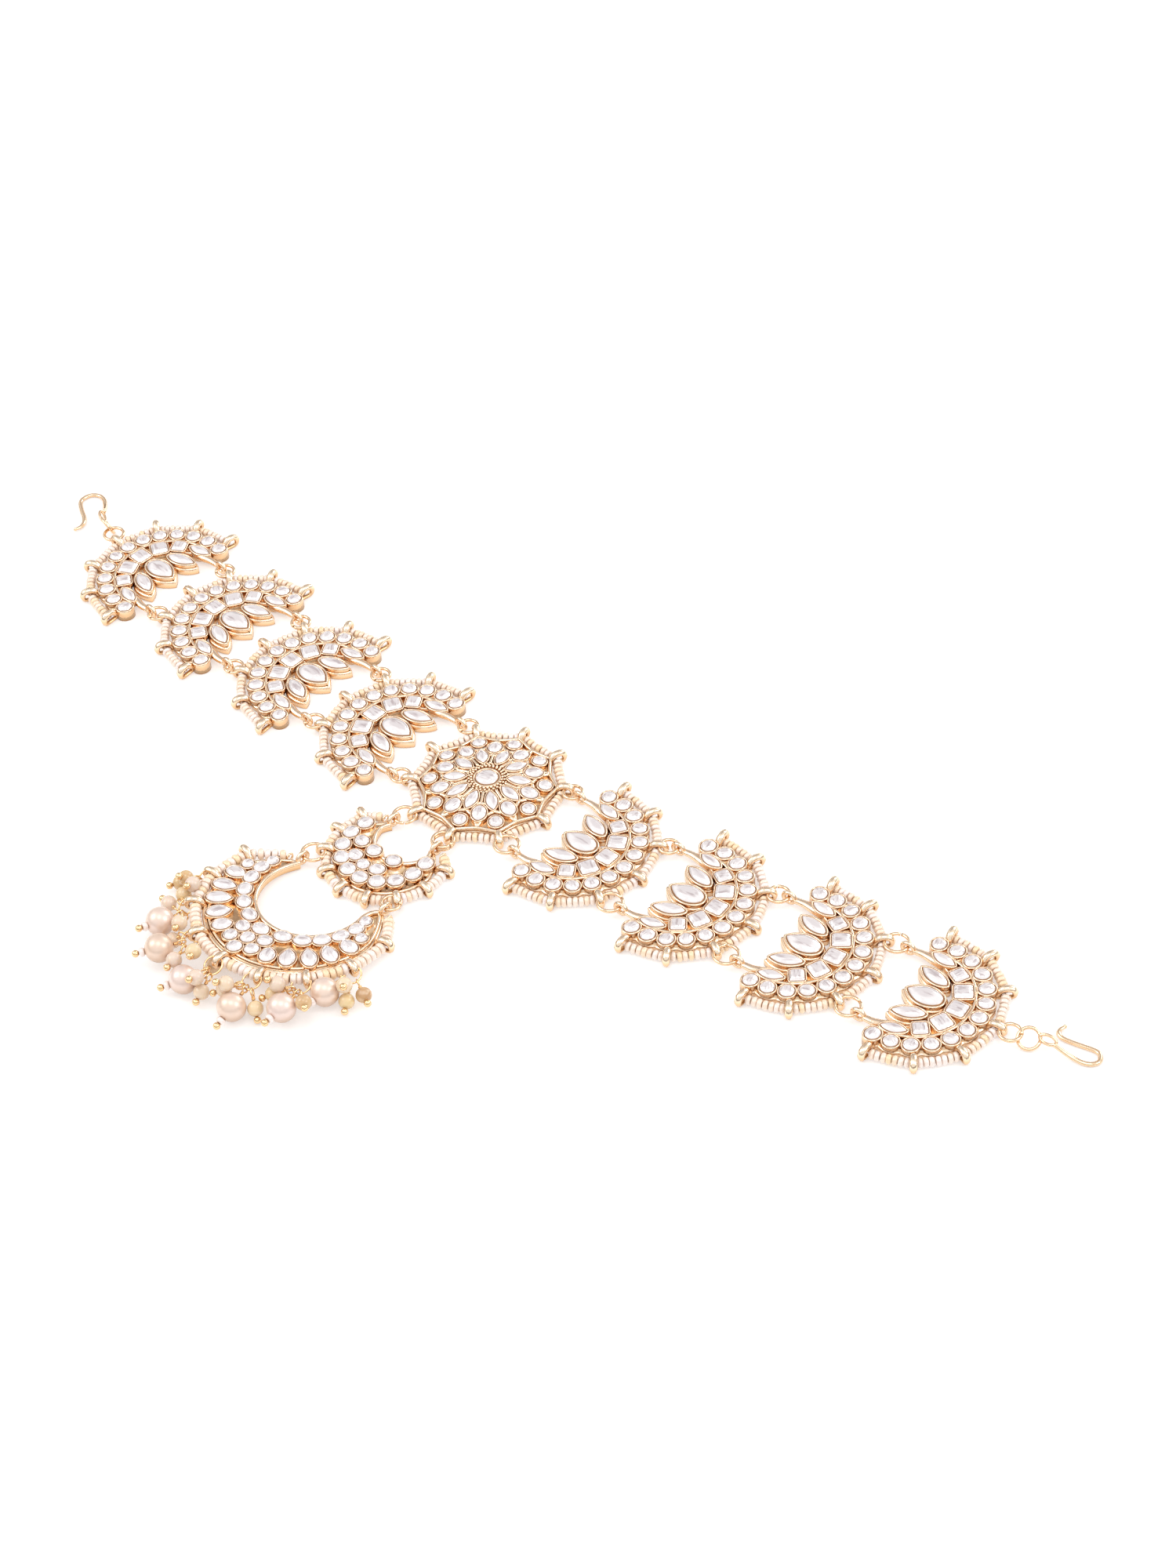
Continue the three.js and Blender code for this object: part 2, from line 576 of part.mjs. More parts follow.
function pin(radius, spacer, segments) {
  const shaft = new THREE.LatheGeometry(pinProfile(radius, spacer), segments);
  const loop = new THREE.TorusGeometry(DROP.eye, DROP.eyeWire, DROP.eyeSection, DROP.eyeSides)
    .rotateY(Math.PI / 2);
  return [shaft.rotateX(Math.PI / 2), loop];
}

for (const { post, ring, fall, pearl: pearlPin, pins } of DROP_PLACES) {
  const name = `drop_${post + 4}`;
  const hole = eyeAt(LARGE_PLACE, outward(LARGE.postRadius, post * LARGE.postStep, LARGE.rimY), DROP.ringZ);
  const facing = LARGE_PLACE.facing + post * LARGE.postStep;
  const hang = wayOf(facing + ring, -fall);
  const tangent = wayOf(facing + ring + 90, 0);
  const normal = new THREE.Vector3().crossVectors(hang, tangent);
  const centre = hole.clone().addScaledVector(hang, DROP.ring);
  const place = ({ at, turn, rise }, pull) => {
    const [c, s] = [Math.cos(radians(at)), Math.sin(radians(at))];
    const way = wayOf(facing + turn, rise);
    const eye = centre.clone().addScaledVector(hang, DROP.ring * c)
      .addScaledVector(tangent, DROP.ring * s).addScaledVector(way, pull);
    const along = tangent.clone().multiplyScalar(c).addScaledVector(hang, -s);
    return (g) => aim(g, eye, way, along);
  };
  const ringBasis = new THREE.Matrix4().makeBasis(hang, tangent, normal).setPosition(centre);
  const pieces = [wireRing(DROP.ring, DROP.ringWire).applyMatrix4(ringBasis)];
  for (const held of pins) {
    const seat = place(held, DROP.pull);
    pieces.push(...pin(DROP.bead, false, DROP.beadSides).map((g) => seat(g)));
  }
  group.add(meshOf(`${name}_beads`, join(pieces), roundBead));
  if (pearlPin) {
    const seat = place(pearlPin, 0);
    const threaded = pin(DROP.pearl, true, DROP.pearlSides).map((g) => seat(g));
    group.add(meshOf(`${name}_pearl`, join(threaded), pearl));
  }
}

export default group;
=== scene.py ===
# The looks of the head chain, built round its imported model. Shapes are worked out in millimetres in
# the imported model's own frame: arms along X, pendant towards -Y, the chain lying face up on z = 0.
import bpy
import numpy as np
from mathutils import Matrix, Vector


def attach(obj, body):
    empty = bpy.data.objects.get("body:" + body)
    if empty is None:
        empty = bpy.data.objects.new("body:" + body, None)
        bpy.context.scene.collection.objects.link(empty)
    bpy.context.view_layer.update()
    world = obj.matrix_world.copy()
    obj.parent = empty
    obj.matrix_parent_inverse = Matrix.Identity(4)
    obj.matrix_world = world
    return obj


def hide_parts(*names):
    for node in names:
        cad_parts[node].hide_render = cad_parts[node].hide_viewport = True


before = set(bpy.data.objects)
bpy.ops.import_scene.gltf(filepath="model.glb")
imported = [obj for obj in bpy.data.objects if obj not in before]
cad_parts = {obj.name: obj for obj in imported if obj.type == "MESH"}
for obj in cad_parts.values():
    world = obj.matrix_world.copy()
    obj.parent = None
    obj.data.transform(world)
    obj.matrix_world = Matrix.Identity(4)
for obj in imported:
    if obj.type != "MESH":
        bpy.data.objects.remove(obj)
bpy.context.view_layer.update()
millimetre = 0.001
chance = np.random.default_rng(11)
scene = bpy.context.scene


def turnZ(degrees):
    # a turn about Z, or one for each angle of a list
    a = np.radians(degrees)
    turns = np.zeros((*a.shape, 3, 3))
    turns[..., 0, 0] = turns[..., 1, 1] = np.cos(a)
    turns[..., 1, 0], turns[..., 0, 1] = np.sin(a), -np.sin(a)
    turns[..., 2, 2] = 1
    return turns


def whole(turn, shift):
    # a turn and a shift as one matrix
    matrix = np.eye(4)
    matrix[:3, :3], matrix[:3, 3] = turn, shift
    return matrix


def linked(name, data):
    made = bpy.data.objects.new(name, data)
    scene.collection.objects.link(made)
    return made


print("camera and light")
eye = dict(
    at=(400.66, -338.26, 496.66), azimuth=47.55, elevation=43.48, roll=-4.394,
    lens=79.58, sensor=36, near=0.02, far=20,
)


def makeCamera(eye):
    # right and up are turned by the roll in the view's plane, then all three by the azimuth about Z
    el, roll = np.radians([eye["elevation"], eye["roll"]])
    right, up = np.array([1, 0, 0]), np.array([0, np.sin(el), np.cos(el)])
    back = np.array([0, -np.cos(el), np.sin(el)])
    c, s = np.cos(roll), np.sin(roll)
    ways = np.stack([c * right + s * up, c * up - s * right, back], 1)
    data = bpy.data.cameras.new("camera")
    data.lens, data.sensor_width = eye["lens"], eye["sensor"]
    data.clip_start, data.clip_end = eye["near"], eye["far"]
    scene.camera = linked("camera", data)
    place = whole(turnZ(eye["azimuth"]) @ ways, np.array(eye["at"]) * millimetre)
    scene.camera.matrix_world = Matrix(place.tolist())


makeCamera(eye)


class Link:
    # an output socket that adds a Math node for each operator used on it
    def __init__(self, nodes, socket):
        self.nodes, self.socket = nodes, socket

    def reckon(self, operation, first, second):
        return self.nodes.node("Math", {"operation": operation}, {0: first, 1: second})

    def __add__(self, other): return self.reckon("ADD", self, other)
    def __sub__(self, other): return self.reckon("SUBTRACT", self, other)
    def __rsub__(self, other): return self.reckon("SUBTRACT", other, self)
    def __mul__(self, other): return self.reckon("MULTIPLY", self, other)


class Nodes:
    # adds nodes to a tree, each input a value or another node's output
    def __init__(self, tree):
        self.tree = tree

    def node(self, kind, settings=None, values=None, output=0):
        made = self.tree.nodes.new("ShaderNode" + kind)
        for key, value in (settings or {}).items():
            setattr(made, key, value)
        for key, value in (values or {}).items():
            if isinstance(value, Link):
                self.tree.links.new(value.socket, made.inputs[key])
            elif made.inputs[key].type == "RGBA":
                made.inputs[key].default_value = (*value, 1)
            else:
                made.inputs[key].default_value = value
        return Link(self, made.outputs[output])

    def ease(self, value, low, high, least=0.0, most=1.0):
        return self.node("MapRange", {"interpolation_type": "SMOOTHSTEP"},
                         {"Value": value, "From Min": low, "From Max": high, "To Min": least, "To Max": most})

    def blend(self, share, first, second):
        # sockets 6 and 7 of a colour Mix are A and B, and its output 2 is the colour
        return self.node("Mix", {"data_type": "RGBA"}, {0: share, 6: first, 7: second}, 2)

    def height(self, way):
        return self.node("SeparateXYZ", None, {0: way}, 2)


class Finish(Nodes):
    # a material with one Principled shader; fixed are the sockets that are the same all over
    def __init__(self, name, fixed):
        self.material = bpy.data.materials.new(name)
        self.material.use_nodes = True
        super().__init__(self.material.node_tree)
        self.shader = self.tree.nodes["Principled BSDF"]
        for socket, value in fixed.items():
            self.shader.inputs[socket].default_value = value

    def place(self):
        return self.node("TexCoord", output="Object")

    def own(self, name, output="Fac"):
        return self.node("Attribute", {"attribute_name": name}, output=output)

    def noise(self, where, scale, detail=2.0, rough=0.5):
        return self.node("TexNoise", None,
                         {"Vector": where, "Scale": scale, "Detail": detail, "Roughness": rough})

    def ramp(self, value, stops):
        made = self.node("ValToRGB", None, {"Fac": value})
        elements = made.socket.node.color_ramp.elements
        while len(elements) < len(stops):
            elements.new(0.5)
        for element, (at, colour) in zip(elements, stops):
            element.position, element.color = at, (*colour, 1)
        return made

    def stretch(self, where, x, y, z):
        return self.node("VectorMath", {"operation": "MULTIPLY"}, {0: where, 1: (x, y, z)})

    def creaseShaded(self, look, bare, deep):
        # painted shade: one colour in the open, and a share of a darker one where a crease hides much of the
        # sky
        near = self.node("AmbientOcclusion", {"samples": 4}, {"Distance": look["crease"]}, "AO")
        return self.blend(self.ease(near, 0.85, 0.3) * look["creaseShadeShare"], bare, deep)

    def shadedBelow(self, high, low, share, above, below):
        # painted shade: one colour where a surface faces up, and a share of a darker one where it faces down
        down = self.ease(self.height(self.node("NewGeometry", output="Normal")), high, low)
        return self.blend(down * share, above, below)

    def wear(self, look, colour, patches, height=None, **links):
        # patches roughen the surface, and a height, if there is one, makes its bump
        links.update({"Base Color": colour, "Roughness": patches * look["roughMore"] + look["rough"]})
        if height:
            links["Normal"] = self.node("Bump", None, {
                "Height": height, "Strength": look["bump"], "Distance": look["bumpDepth"]})
        for socket, link in links.items():
            self.tree.links.new(link.socket, self.shader.inputs[socket])
        return self.material


light = dict(
    sky=(0.92, 0.91, 0.905), floor=(0.68, 0.674, 0.67), glow=0.44,
    # a grey card in the sky: the way to it, and the cosines to that way at its inner and outer edge
    card=(0.52, 0.47, 0.475), cardWay=(-0.535, 0.49, 0.688), cardInner=0.985, cardOuter=0.87,
    # the dark room behind the tent's lower edge, and how high up the sky that edge fades out
    room=(0.13, 0.085, 0.06), roomTop=0.46,
)
# Soft boxes: place and size in metres, strength in watts.
softBoxes = [
    ((-1.1, -1.0, 1.5), 1.1, 10.0), ((1.5, 0.8, 1.5), 0.9, 8.5),
    ((0.0, 2.0, 0.8), 1.0, 8.0), ((0.4, -0.3, 2.4), 1.1, 8.0),
]


def makeLight(light, softBoxes):
    world = bpy.data.worlds.new("studio")
    scene.world = world
    world.use_nodes = True
    nodes = Nodes(world.node_tree)
    way = nodes.node("TexCoord", output="Generated")
    near = nodes.node("VectorMath", {"operation": "DOT_PRODUCT"}, {0: way, 1: light["cardWay"]}, "Value")
    tent = nodes.blend(nodes.ease(near, light["cardOuter"], light["cardInner"]), light["sky"], light["card"])
    colour = nodes.blend(nodes.ease(nodes.height(way), light["roomTop"], 0.0), tent, light["room"])
    world.node_tree.links.new(colour.socket, world.node_tree.nodes["Background"].inputs["Color"])
    for i, (at, size, power) in enumerate(softBoxes):
        data = bpy.data.lights.new(f"softBox{i}", "AREA")
        data.energy, data.size = power, size
        lamp = linked(f"softBox{i}", data)
        aim = (-Vector(at)).to_track_quat("-Z", "Y").to_matrix().to_4x4()
        lamp.matrix_world = Matrix.Translation(at) @ aim
        lamp.visible_camera = False
    scene.view_settings.view_transform = "Standard"


makeLight(light, softBoxes)

# Finishes. Colours are linear; noise scales count per metre, and creases and bumps are in metres,
# except on the stones, which are measured in their own size.
gold = dict(
    # recessShade, shadow and flank are painted shade, and sheen is a painted highlight
    pale=(0.97, 0.745, 0.54), deep=(0.82, 0.57, 0.33), recessShade=(0.40, 0.20, 0.08),
    shadow=(0.54, 0.26, 0.085), flank=(0.86, 0.54, 0.28), sheen=(1.0, 0.83, 0.63),
    grain=2600.0, wave=500.0, waveTone=0.35, rough=0.15, roughMore=0.12,
    flankShare=0.7, crease=0.0008, creaseShadeShare=0.7, bump=0.35, bumpDepth=0.00022,
)
wire = gold | dict(pale=(0.97, 0.67, 0.42), sheen=(1.0, 0.76, 0.52), wave=260.0, rough=0.10, roughMore=0.08)
pin = gold | dict(pale=(0.98, 0.66, 0.32), sheen=(1.0, 0.74, 0.42), rough=0.12, roughMore=0.08)
foil = dict(
    # mauveReflection is a painted reflection in the foil, and rim is painted shade at the girdle
    clear=(0.97, 0.93, 0.935), mauveReflection=(0.58, 0.49, 0.50), rim=(0.40, 0.20, 0.08),
    facet=1.9, streak=1.3, reflectionShare=0.75, rough=0.06, roughMore=0.35,
    shine=0.5, rimShine=0.3, bump=0.22, bumpDepth=0.0006,
    # how far a stone's shade moves it through the foil, along each axis
    shift=(17.0, 31.0, 7.0),
)
glass = dict(
    shell=(0.97, 0.86, 0.83), ivory=(0.97, 0.84, 0.74), peach=(0.97, 0.78, 0.64),
    honey=(0.95, 0.74, 0.47), neckShade=(0.58, 0.36, 0.20), neckShadeShare=0.85,
    cloud=900.0, cloudTone=0.25, rough=0.22, roughMore=0.16,
    crease=0.0005, creaseShadeShare=0.55, bump=0.15, bumpDepth=0.0001,
)
agate = dict(
    beige=(0.86, 0.69, 0.50), honey=(0.86, 0.66, 0.36), grey=(0.81, 0.66, 0.56),
    rust=(0.60, 0.36, 0.18), undersideShade=(0.62, 0.38, 0.17), undersideShadeShare=0.6,
    cloud=420.0, cloudTone=0.5, vein=300.0, veinMost=0.35, rough=0.16, roughMore=0.12,
)
nacre = dict(
    cream=(0.89, 0.71, 0.60), rose=(0.90, 0.73, 0.69), warm=(0.82, 0.60, 0.44),
    undersideShade=(0.50, 0.28, 0.14), undersideShadeShare=0.85, cloud=260.0, shadeTone=0.5, cloudTone=0.6,
    rough=0.30, roughMore=0.1, bump=0.05, bumpDepth=0.0002,
)


def goldFinish(name, look):
    finish = Finish(name, {"Metallic": 1.0, "IOR": 1.45})
    where = finish.place()
    tone = finish.own("tone")
    wave = finish.noise(where, look["wave"], 3.0, 0.55)
    grain = finish.noise(where, look["grain"], 2.0, 0.6)
    # the tone attribute is 0 in a recess and 1 on a crest; the wave shifts it a little. The ramp paints shade
    # into recesses and a painted highlight on crests
    crest = tone + (wave - 0.5) * look["waveTone"]
    colour = finish.ramp(crest, [
        (0.05, look["recessShade"]), (0.32, look["deep"]), (0.72, look["pale"]), (1.0, look["sheen"])])
    # painted shade: flanks are deeper than crests, and creases are darker still
    colour = finish.shadedBelow(0.6, -0.2, look["flankShare"], colour, look["flank"])
    colour = finish.creaseShaded(look, colour, look["shadow"])
    return finish.wear(look, colour, finish.ease(grain, 0.35, 0.7), wave * 0.75 + grain * 0.25)


def stoneFinish(name, look):
    finish = Finish(name, {"IOR": 1.52, "Coat Weight": 0.6, "Coat Roughness": 0.03})
    own, rim, shade = finish.own("own", "Vector"), finish.own("tone"), finish.own("shade")
    shift = finish.node("CombineXYZ", None, {i: shade * far for i, far in enumerate(look["shift"])})
    where = finish.node("VectorMath", {"operation": "ADD"}, {0: own, 1: shift})
    # crumpled foil: large flat cells for the bump, and along the stone a painted reflection in mauve streaks,
    # kept away from the girdle
    flats = {"Vector": finish.stretch(where, 0.8, 1.5, 1.0), "Scale": look["facet"]}
    cells = finish.node("TexVoronoi", None, flats, "Distance")
    streak = finish.noise(finish.stretch(where, 0.7, 3.2, 1.0), look["streak"])
    mauveReflection = finish.ease(streak, 0.50, 0.66) * finish.ease(rim, 0.80, 0.45)
    body = finish.blend(mauveReflection * look["reflectionShare"], look["clear"], look["mauveReflection"])
    # at the girdle the stone is painted golden brown: painted shade in the groove against its collar, and a
    # painted reflection of the collar's gold
    edge = finish.ease(rim, 0.90, 0.965)
    metallic = look["shine"] - edge * look["rimShine"]
    return finish.wear(look, finish.blend(edge, body, look["rim"]), edge, cells, Metallic=metallic)


def seedFinish(name, look):
    finish = Finish(name, {"IOR": 1.5, "Metallic": 0.08, "Coat Weight": 0.9, "Coat Roughness": 0.06})
    shade, tone, where = finish.own("shade"), finish.own("tone"), finish.place()
    cloud = finish.noise(where, look["cloud"])
    body = finish.ramp(shade + (cloud - 0.5) * look["cloudTone"], [
        (0.0, look["shell"]), (0.3, look["ivory"]), (0.65, look["peach"]), (1.0, look["honey"])])
    # painted shade at the neck where two beads touch, and in creases
    colour = finish.blend(finish.ease(tone, 0.5, 0.0) * look["neckShadeShare"], body, look["neckShade"])
    return finish.wear(look, finish.creaseShaded(look, colour, look["neckShade"]), cloud, cloud)


def agateFinish(name, look):
    finish = Finish(name, {"IOR": 1.54, "Coat Weight": 0.5, "Coat Roughness": 0.05,
                           "Subsurface Weight": 0.25, "Subsurface Radius": (0.002, 0.0013, 0.0007)})
    shade, where = finish.own("shade"), finish.place()
    cloud = finish.noise(where, look["cloud"], 3.0, 0.6)
    vein = finish.noise(finish.stretch(where, 1.0, 1.0, 3.0), look["vein"])
    colour = finish.ramp(shade + (cloud - 0.5) * look["cloudTone"], [
        (0.0, look["grey"]), (0.4, look["beige"]), (0.75, look["honey"]), (1.0, look["rust"])])
    veined = finish.blend(finish.ease(vein, 0.52, 0.7, 0.0, look["veinMost"]), colour, look["beige"])
    # painted shade on the bead's underside
    return finish.wear(look, finish.shadedBelow(0.35, -0.75, look["undersideShadeShare"], veined, look["undersideShade"]), cloud)


def pearlFinish(name, look):
    finish = Finish(name, {"IOR": 1.6, "Metallic": 0.35, "Coat Weight": 1.0, "Coat Roughness": 0.34})
    shade, where = finish.own("shade"), finish.place()
    cloud = finish.noise(where, look["cloud"])
    colour = finish.ramp(shade * look["shadeTone"] + cloud * look["cloudTone"], [
        (0.1, look["rose"]), (0.5, look["cream"]), (0.95, look["warm"])])
    # painted shade on the pearl's underside
    colour = finish.shadedBelow(0.45, -0.7, look["undersideShadeShare"], colour, look["undersideShade"])
    return finish.wear(look, colour, cloud, cloud)


castGold = goldFinish("cast_gold", gold)
wireGold = goldFinish("wire_gold", wire)
pinGold = goldFinish("pin_gold", pin)
foiledStone = stoneFinish("clear_foiled_stone", foil)
seedGlass = seedFinish("seed_bead_glass", glass)
agateGlass = agateFinish("honey_agate_bead", agate)
pearlShell = pearlFinish("champagne_pearl", nacre)


# Shapes are dictionaries of arrays: points, quads and tris, and for each point its tone (0 in a recess, 1 on
# a crest;
# the finishes paint shade where it is low and a highlight where it is high), the piece's chance shade and the
# point in the piece's own frame.
def faced(shape):
    # a closed shape's volume is the sum of a.(b x c) / 6 over its triangles; below 0 it is inside out
    quads, points = shape["quads"], shape["points"]
    a, b, c = points[np.vstack([shape["tris"], quads[:, :3], quads[:, [0, 2, 3]]])].transpose(1, 0, 2)
    if np.einsum("ij,ij->", a, np.cross(b, c)) < 0:
        shape["quads"], shape["tris"] = quads[:, ::-1], shape["tris"][:, ::-1]
    return shape


def solid(rings, tone=1.0, loops=False, shade=0.5):
    # rings of points one after another, both ends closed to their middles unless it loops; the quad
    # at (i, j) joins rings i, i+1 and their points j, j+1
    rows, cols = rings.shape[:2]
    points = rings.reshape(-1, 3)
    tones = np.broadcast_to(tone, (rows, cols)).reshape(-1)
    i, j = np.arange(rows if loops else rows - 1)[:, None], np.arange(cols)
    near, far, k = i * cols, (i + 1) % rows * cols, (j + 1) % cols
    quads = np.stack([near + j, near + k, far + k, far + j], -1).reshape(-1, 4)
    tris = np.zeros((0, 3), int)
    if not loops:
        middle, last = j * 0 + rows * cols, (rows - 1) * cols
        tris = np.vstack([np.stack([middle, k, j], 1), np.stack([middle + 1, last + j, last + k], 1)])
        points = np.vstack([points, rings[0].mean(0), rings[-1].mean(0)])
        tones = np.append(tones, [tones[0], tones[-1]])
    return faced(dict(points=points, quads=quads, tris=tris, tone=tones,
                  shade=np.full(len(points), shade), own=points.copy()))


def lifted(flat, z):
    # flat rings put at heights
    return np.concatenate([flat, np.broadcast_to(z, (*flat.shape[:2], 1))], 2)


def gathered(shapes):
    # one shape out of several, each one's faces counted on from where its points start
    starts = np.cumsum([0] + [len(s["points"]) for s in shapes])
    out = {key: np.concatenate([s[key] for s in shapes]) for key in ("points", "tone", "shade", "own")}
    for key in ("quads", "tris"):
        out[key] = np.concatenate([s[key] + start for s, start in zip(shapes, starts)])
    return out


def scattered(shape, turns, shifts, shades):
    # a copy for each turn and shift: point = turn . point + shift
    count, size = len(shifts), len(shape["points"])
    step = np.arange(count)[:, None, None] * size
    points = np.einsum("kij,nj->kni", turns, shape["points"]) + shifts[:, None]
    return dict(points=points.reshape(-1, 3), quads=(shape["quads"] + step).reshape(-1, 4),
            tris=(shape["tris"] + step).reshape(-1, 3), tone=np.tile(shape["tone"], count),
            shade=np.repeat(shades, size), own=np.tile(shape["own"], (count, 1)))


def moved(shape, matrix):
    return {**shape, "points": shape["points"] @ matrix[:3, :3].T + matrix[:3, 3]}


def shaded(shape, shade):
    return {**shape, "shade": np.full(len(shape["points"]), shade)}


def piece(name, shape, finish, replaces=()):
    # puts a shape into a mesh, in metres, hangs it under the root body and hides the imported parts it
    # replaces
    mesh = bpy.data.meshes.new(name)
    faces = shape["quads"].tolist() + shape["tris"].tolist()
    mesh.from_pydata((shape["points"] * millimetre).tolist(), [], faces)
    mesh.shade_smooth()
    for key in ("tone", "shade", "own"):
        kind, field = ("FLOAT_VECTOR", "vector") if key == "own" else ("FLOAT", "value")
        made = mesh.attributes.new(key, kind, "POINT")
        made.data.foreach_set(field, shape[key].astype(np.float32).ravel())
    mesh.materials.append(finish)
    made = linked(name, mesh)
    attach(made, "root")
    if replaces:
        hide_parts(*replaces)


def unit(v):
    return v / np.maximum(np.linalg.norm(v, axis=-1, keepdims=True), 1e-9)


def circle(count):
    # cosines and sines of equal steps round
    a = 2 * np.pi * np.arange(count) / count
    return np.cos(a), np.sin(a)


def polar(radius, degrees):
    # a point at an angle from +X, anticlockwise
    a = np.radians(degrees)
    return np.stack([radius * np.cos(a), radius * np.sin(a)], -1)


def outward(radius, degrees, centreY=0.0):
    # a point at an angle from the outward way (-Y), turning towards +X
    a = np.radians(degrees)
    return np.stack([radius * np.sin(a), centreY - radius * np.cos(a)], -1)


def level(points, z):
    # flat points put at a height
    return np.column_stack([points, np.full(len(points), z)])


def eased(t):
    # 3 t^2 - 2 t^3, from 0 to 1 and flat beyond
    t = np.clip(t, 0, 1)
    return t * t * (3 - 2 * t)


def smoothPath(points, steps, loops=False):
    # Catmull-Rom: the cubic through each pair of points whose slopes come from their neighbours
    points = np.asarray(points, float)
    before, after = points[-1], points[:2]
    if not loops:
        before, after = 2 * points[0] - points[1], 2 * points[-1] - points[-2]
    padded = np.vstack([before, points, after])[:, None]
    p0, p1, p2, p3 = padded[:-3], padded[1:-2], padded[2:-1], padded[3:]
    t = (np.arange(steps) / steps)[None, :, None]
    curve = 0.5 * (2 * p1 + (p2 - p0) * t + (2 * p0 - 5 * p1 + 4 * p2 - p3) * t ** 2
                   + (3 * p1 - p0 - 3 * p2 + p3) * t ** 3)
    curve = curve.reshape(-1, points.shape[1])
    return curve if loops else np.vstack([curve, points[-1]])


def tube(path, radius, sides=8, side=(0, 0, 1), loops=False, flat=1.0, tone=1.0, shade=0.5):
    # a round section carried along a path: centre + r (cos a . across + flat . sin a . other)
    path = np.asarray(path, float)
    along = unit(np.roll(path, -1, 0) - np.roll(path, 1, 0) if loops else np.gradient(path, axis=0))
    across = unit(np.cross(along, side))
    other = np.cross(along, across)
    c, s = (part[None, :, None] for part in circle(sides))
    radii, tones = (np.broadcast_to(values, len(path))[:, None] for values in (radius, tone))
    rings = path[:, None] + radii[..., None] * (c * across[:, None] + flat * s * other[:, None])
    return solid(rings, tones, loops, shade)


def closedRing(centre, u, v, thick, steps, sides=8, tone=1.0):
    # a closed wire: centre + cos a . u + sin a . v
    c, s = circle(steps)
    path = centre + c[:, None] * u + s[:, None] * v
    return tube(path, thick, sides, side=np.cross(u, v), loops=True, tone=tone)


def cutRing(centre, u, v, radius, thick, steps=26, seam=3.0):
    # a wire bent round: centre + r (cos a . u + sin a . v), with its cut ends nearly meeting
    a = np.radians(np.linspace(seam, 360 - seam, steps))[:, None]
    return tube(centre + radius * (np.cos(a) * u + np.sin(a) * v), thick, side=np.cross(u, v))


def ball(radius, rows, cols, long=1.0):
    # a sphere: latitude rings of radius r cos b at height r sin b, stretched along z
    b = np.linspace(-np.pi / 2, np.pi / 2, rows + 2)[1:-1]
    flat = radius * np.cos(b)[:, None]
    c, s = circle(cols)
    z = np.broadcast_to(radius * long * np.sin(b)[:, None], (rows, cols))
    made = solid(np.stack([flat * c, flat * s, z], -1))
    made["points"][-2:, 2] = [-radius * long, radius * long]
    return made


def cut(long, wide, tip=1.0, heel=1.0, lean=0.0, square=2.0, count=28):
    # x = long/2 (cos t - lean sin^2 t); y = wide/2 |sin t|^k, where k goes from heel at one end to tip
    # at the other; a power over 2 squares the outline off
    c, s = circle(count)
    power = 2 / square
    k = (heel + (tip - heel) * (1 + c) / 2) * power
    x = long / 2 * (np.sign(c) * np.abs(c) ** power - lean * s ** 2)
    return np.stack([x, wide / 2 * np.sign(s) * np.abs(s) ** k], 1)


def raised(outline, levels, tones, loops=False):
    # an outline carried up through levels (how far out from the edge, height); the outward way at a
    # point is square to the line between its neighbours
    levels = np.asarray(levels, float)
    d = np.roll(outline, -1, 0) - np.roll(outline, 1, 0)
    flat = outline[None] + unit(np.stack([d[:, 1], -d[:, 0]], 1))[None] * levels[:, 0, None, None]
    return solid(lifted(flat, levels[:, 1, None, None]), np.array(tones)[:, None], loops)


def bezel(outline, low, wide):
    # a collar round a stone: up the outside, over a rounded crest at 0 and down inside
    levels = [(wide, low), (wide, -0.3), (wide * 0.86, -0.1), (wide * 0.55, 0.0),
              (wide * 0.22, -0.05), (0.0, -0.24), (-0.06, low)]
    return raised(outline, levels, [0.28, 0.72, 0.95, 1.0, 0.8, 0.25, 0.1], loops=True)


# A stone's rise, as (share of the outline, share of the height): a dome, or a table with sloped sides.
domed = [(1.0, -0.7), (1.0, -0.02), (0.955, 0.14), (0.85, 0.42), (0.66, 0.72), (0.42, 0.92), (0.18, 0.99)]
stepped = [(1.0, -0.7), (1.0, -0.02), (0.95, 0.1), (0.74, 0.66), (0.64, 0.82), (0.5, 0.88), (0.2, 0.93)]


def stone(outline, height, table):
    # the outline drawn in towards its middle as it rises; its own frame is measured in half its length
    rows = np.array(stepped if table else domed)
    flat = outline[None] * rows[:, 0, None, None]
    made = solid(lifted(flat, rows[:, 1, None, None] * height), rows[:, 0, None])
    made["tone"][-1] = 0.0
    made["own"] = made["points"] / np.abs(outline).max()
    return made


def standing(x, y, z, heading=0.0, lean=0.0):
    # the matrix that turns a piece's own x to a heading and leans that end down
    down = np.radians(lean)
    tip = np.array([[np.cos(down), 0, np.sin(down)], [0, 1, 0], [-np.sin(down), 0, np.cos(down)]])
    return whole(turnZ(heading) @ tip, (x, y, z))


class Casting:
    # a casting while it is put together: its metal, and its stones apart
    def __init__(self):
        self.metal, self.gems = [], []
        self.add = self.metal.append

    def seat(self, outline, x, y, heading, low, top, height, wide=0.42, lean=0.0, table=False, girdle=0.16):
        # a stone in its collar: the stone's girdle lies just below the collar's crest
        self.add(moved(bezel(outline, low - top, wide), standing(x, y, top, heading, lean)))
        gem = moved(stone(outline, height, table), standing(x, y, top - girdle, heading, lean))
        self.gems.append(shaded(gem, chance.random()))

    def shapes(self):
        return gathered(self.metal), gathered(self.gems)


def bandOf(outer, inner, section, dips):
    # between two edges: edge + way (share . width + shift), at each level; dips lower its open field, and
    # lower its tone there, so that the finish paints shade in the hollows
    across = inner - outer
    width = np.linalg.norm(across, axis=1)[:, None, None]
    way = unit(across)[:, None]
    share, shift, z, tone, bare = np.asarray(section, float).T[:, None]
    flat = outer[:, None] + way * (share[..., None] * width + shift[..., None])
    low = dips(flat) * bare
    return solid(lifted(flat, (z - low * 0.4)[..., None]), tone - low * 0.42)


